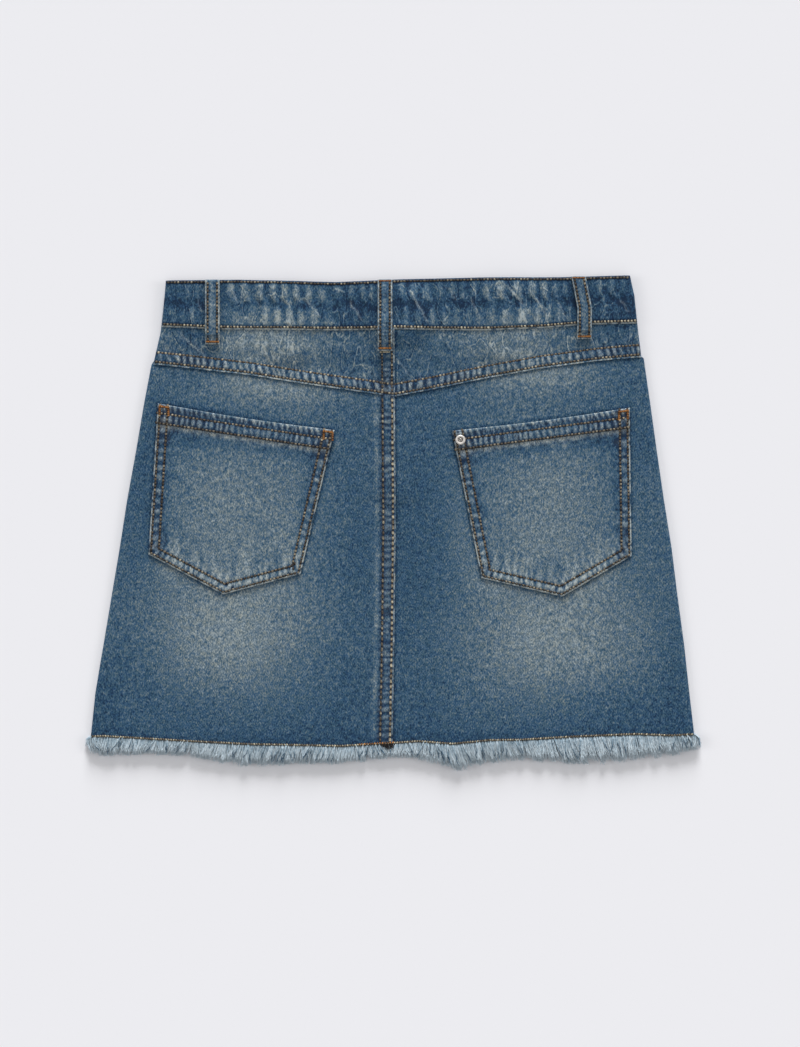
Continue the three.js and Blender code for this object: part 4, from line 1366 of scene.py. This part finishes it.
def add_zip_metal(shape):
    """The teeth on both sides of the chain, and the slider with its pull, just proud of the model's zip."""
    metal = Sewing()
    chain, _, chain_from, _ = ZIP_PARTS[1]
    count = int(chain / TOOTH_PITCH)
    chain_top = ZIP_TOP - chain_from
    for side in (-1, 1):
        y = chain_top - (np.arange(count) + 0.5 + 0.25 * side) * TOOTH_PITCH
        x = CENTRE_FRONT_X + side * 1.15 + 0 * y
        metal.stitch(x, y, zip_bed(x, y) + 1.08, 0, 0, 2.3, 1.0, 1.0, 0.5)
    middle = chain_top - 4.5
    for wide, long, low, high in ((7.2, 9.2, 1.4, 2.36), (3.2, 7.5, 2.3, 2.48)):
        z = zip_bed(CENTRE_FRONT_X, middle) + (low + high) / 2
        metal.stitch(CENTRE_FRONT_X, middle, z, math.pi / 2, 0, long, wide, high - low, 0.5)
    piece("zip_teeth", metal.mesh("zip_teeth", shape), silver)


def zip_bed(x, y):
    """The height that the zip's tape lies at, on the inside of the front."""
    return lift(x, y) + DENIM + GAP


def turned(name, middle, low, high, profile):
    """A round piece of metal from its profile, as pairs of radius and share of its height."""
    bm = bmesh.new()
    points = [bm.verts.new((radius * MM, 0, lerp(low, high, share) * MM)) for radius, share in profile]
    edges = [bm.edges.new(pair) for pair in zip(points, points[1:])]
    bmesh.ops.spin(
        bm, geom=points + edges, cent=(0, 0, 0), axis=(0, 0, 1), angle=2 * math.pi, steps=48, use_merge=True,
    )
    bmesh.ops.remove_doubles(bm, verts=bm.verts, dist=1e-6)
    bmesh.ops.recalc_face_normals(bm, faces=bm.faces)
    bmesh.ops.translate(bm, verts=bm.verts, vec=(middle[0] * MM, middle[1] * MM, 0))
    mesh = mesh_of(bm, name)
    mesh.shade_smooth()
    return mesh


def add_camera():
    camera = new_object("camera", bpy.data.cameras.new("camera"))
    camera.location = CAMERA_PLACE
    camera.data.sensor_width = SENSOR_WIDTH
    camera.data.lens = LENS
    bpy.context.scene.camera = camera


def add_floor_and_light():
    bm = bmesh.new()
    bmesh.ops.create_grid(bm, x_segments=8, y_segments=8, size=FLOOR_REACH)
    bmesh.ops.translate(bm, verts=bm.verts, vec=(0, 0, FLOOR_Z))
    floor = new_object("floor", mesh_of(bm, "floor"))
    material, _, surface = new_material("pale floor")
    surface.inputs["Base Color"].default_value = screen_color(236, 236, 240)
    surface.inputs["Roughness"].default_value = 1.0
    surface.inputs["Specular IOR Level"].default_value = 0.0
    floor.data.materials.append(material)

    world = bpy.data.worlds.new("soft studio")
    bpy.context.scene.world = world
    world.use_nodes = True
    sky = world.node_tree.nodes["Background"]
    sky.inputs["Color"].default_value = (1, 1, 1, 1)
    sky.inputs["Strength"].default_value = SKY
    for name, direction, energy in LAMPS:
        lamp = bpy.data.lights.new(name, "SUN")
        lamp.angle = math.radians(LAMP_WIDTH)
        lamp.energy = energy
        source = new_object(name, lamp)
        source.rotation_euler = Vector(direction).to_track_quat("-Z", "Y").to_euler()
    bpy.context.scene.view_settings.view_transform = "Standard"


add_camera()
add_floor_and_light()

twill = new_group("denim twill", twill_values)
denim = denim_material(twill, new_group("fine wrinkles", wrinkle_values))
tan_thread = thread_material("tan thread", ((34, 32, 34), (98, 90, 78), (196, 188, 164)))
orange_thread = thread_material("orange thread", ((60, 46, 40), (130, 86, 48), (182, 128, 72)))
frayed_thread = thread_material("frayed thread", ((62, 88, 110), (146, 169, 184), (208, 221, 229)), 0.5)
silver = metal_material("worn silver", screen_color(226, 223, 218), 0.34, 0.6)
rivet_silver = metal_material("rivet silver", screen_color(236, 230, 224), 0.38, 0.5, hollow=0.95)
tape = tape_material(twill)

thread = thread_shape()
for half, side in HALVES:
    for layer, count, root_z, tip_z, shorter, seed in (
        ("back", BACK_THREADS, lambda x: back_inside(x, hem_line(x)) + 0.1, 2.0, 0, 70),
        ("front", FRONT_THREADS, lambda x: 0.1 + 0 * x, 0.1, 3.0, 90),
    ):
        name = f"{layer}_fringe_{half}"
        mesh = fringe(name, side, count, root_z, tip_z, shorter, seed + side, thread)
        loose = piece(name, mesh, frayed_thread, [f"fray_{layer}_{half}"])

for half, side in HALVES:
    back_inner = centre_back if side < 0 else (lambda y: centre_back(y) - TUCK)
    back = (back_inner, back_rounding)
    for kind, node, rests_on, lower, upper, face_of, inner, rounding in (
        ("back_panel", "back", f"front_panel_{half}", hem_line, tucked(yoke_edge), panel_face, *back),
        ("back_yoke", "yoke", f"back_panel_{half}", yoke_edge, tucked(waist_seam), yoke_face, *back),
        ("front_panel", "front", "floor", hem_line, tucked(front_waist_seam), front_panel_face,
         lambda y: CENTRE_FRONT_X + 0 * y, front_rounding),
        ("front_band", "waistband_front", "floor", front_waist_seam, front_waist_top, front_band_face,
         lambda y: BAND_END + 0 * y, front_rounding),
    ):
        name = f"{kind}_{half}"
        place = side_place(side, lower, upper, inner, face_of, rounding)
        cloth_piece(name, kind, place, f"{node}_{half}")

cloth_piece("back_band", "back_band", band_place, "waistband_back")
for shape in POCKETS:
    name = shape[0]
    cloth_piece(f"{name}_patch", "pocket", pocket_place(shape), name)
for loop in BACK_LOOPS:
    name = loop[0]
    cloth_piece(f"{name}_strip", "back_loop", loop_place(loop), name)
for name, x, foot_drop in FRONT_LOOPS:
    cloth_piece(f"{name}_strip", "front_loop", front_loop_place(x, foot_drop), name)

stitch = stitch_shape()
sewing, tacks = Sewing(), Sewing()
for sew in (sew_back, sew_pockets, sew_loops, sew_hem, sew_front):
    sew(sewing)
piece("stitches", sewing.mesh("stitches", stitch), tan_thread)
sew_tacks(tacks)
piece("bar_tacks", tacks.mesh("bar_tacks", stitch), orange_thread)

for name, node, material, middle, profile in (
    ("rivet_cap", "rivet", rivet_silver, (RIVET_X, RIVET_Y), RIVET_PROFILE),
    ("button_cap", "waist_button", silver, (BUTTON_X, BUTTON_Y), BUTTON_PROFILE),
):
    heights = [vertex.co.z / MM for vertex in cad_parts[node].data.vertices]
    cap = turned(name, middle, min(heights), max(heights), profile)
    piece(name, cap, material, [node])

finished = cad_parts["zip"]
finished.data.materials.clear()
finished.data.materials.append(tape)
add_zip_metal(tooth_shape())
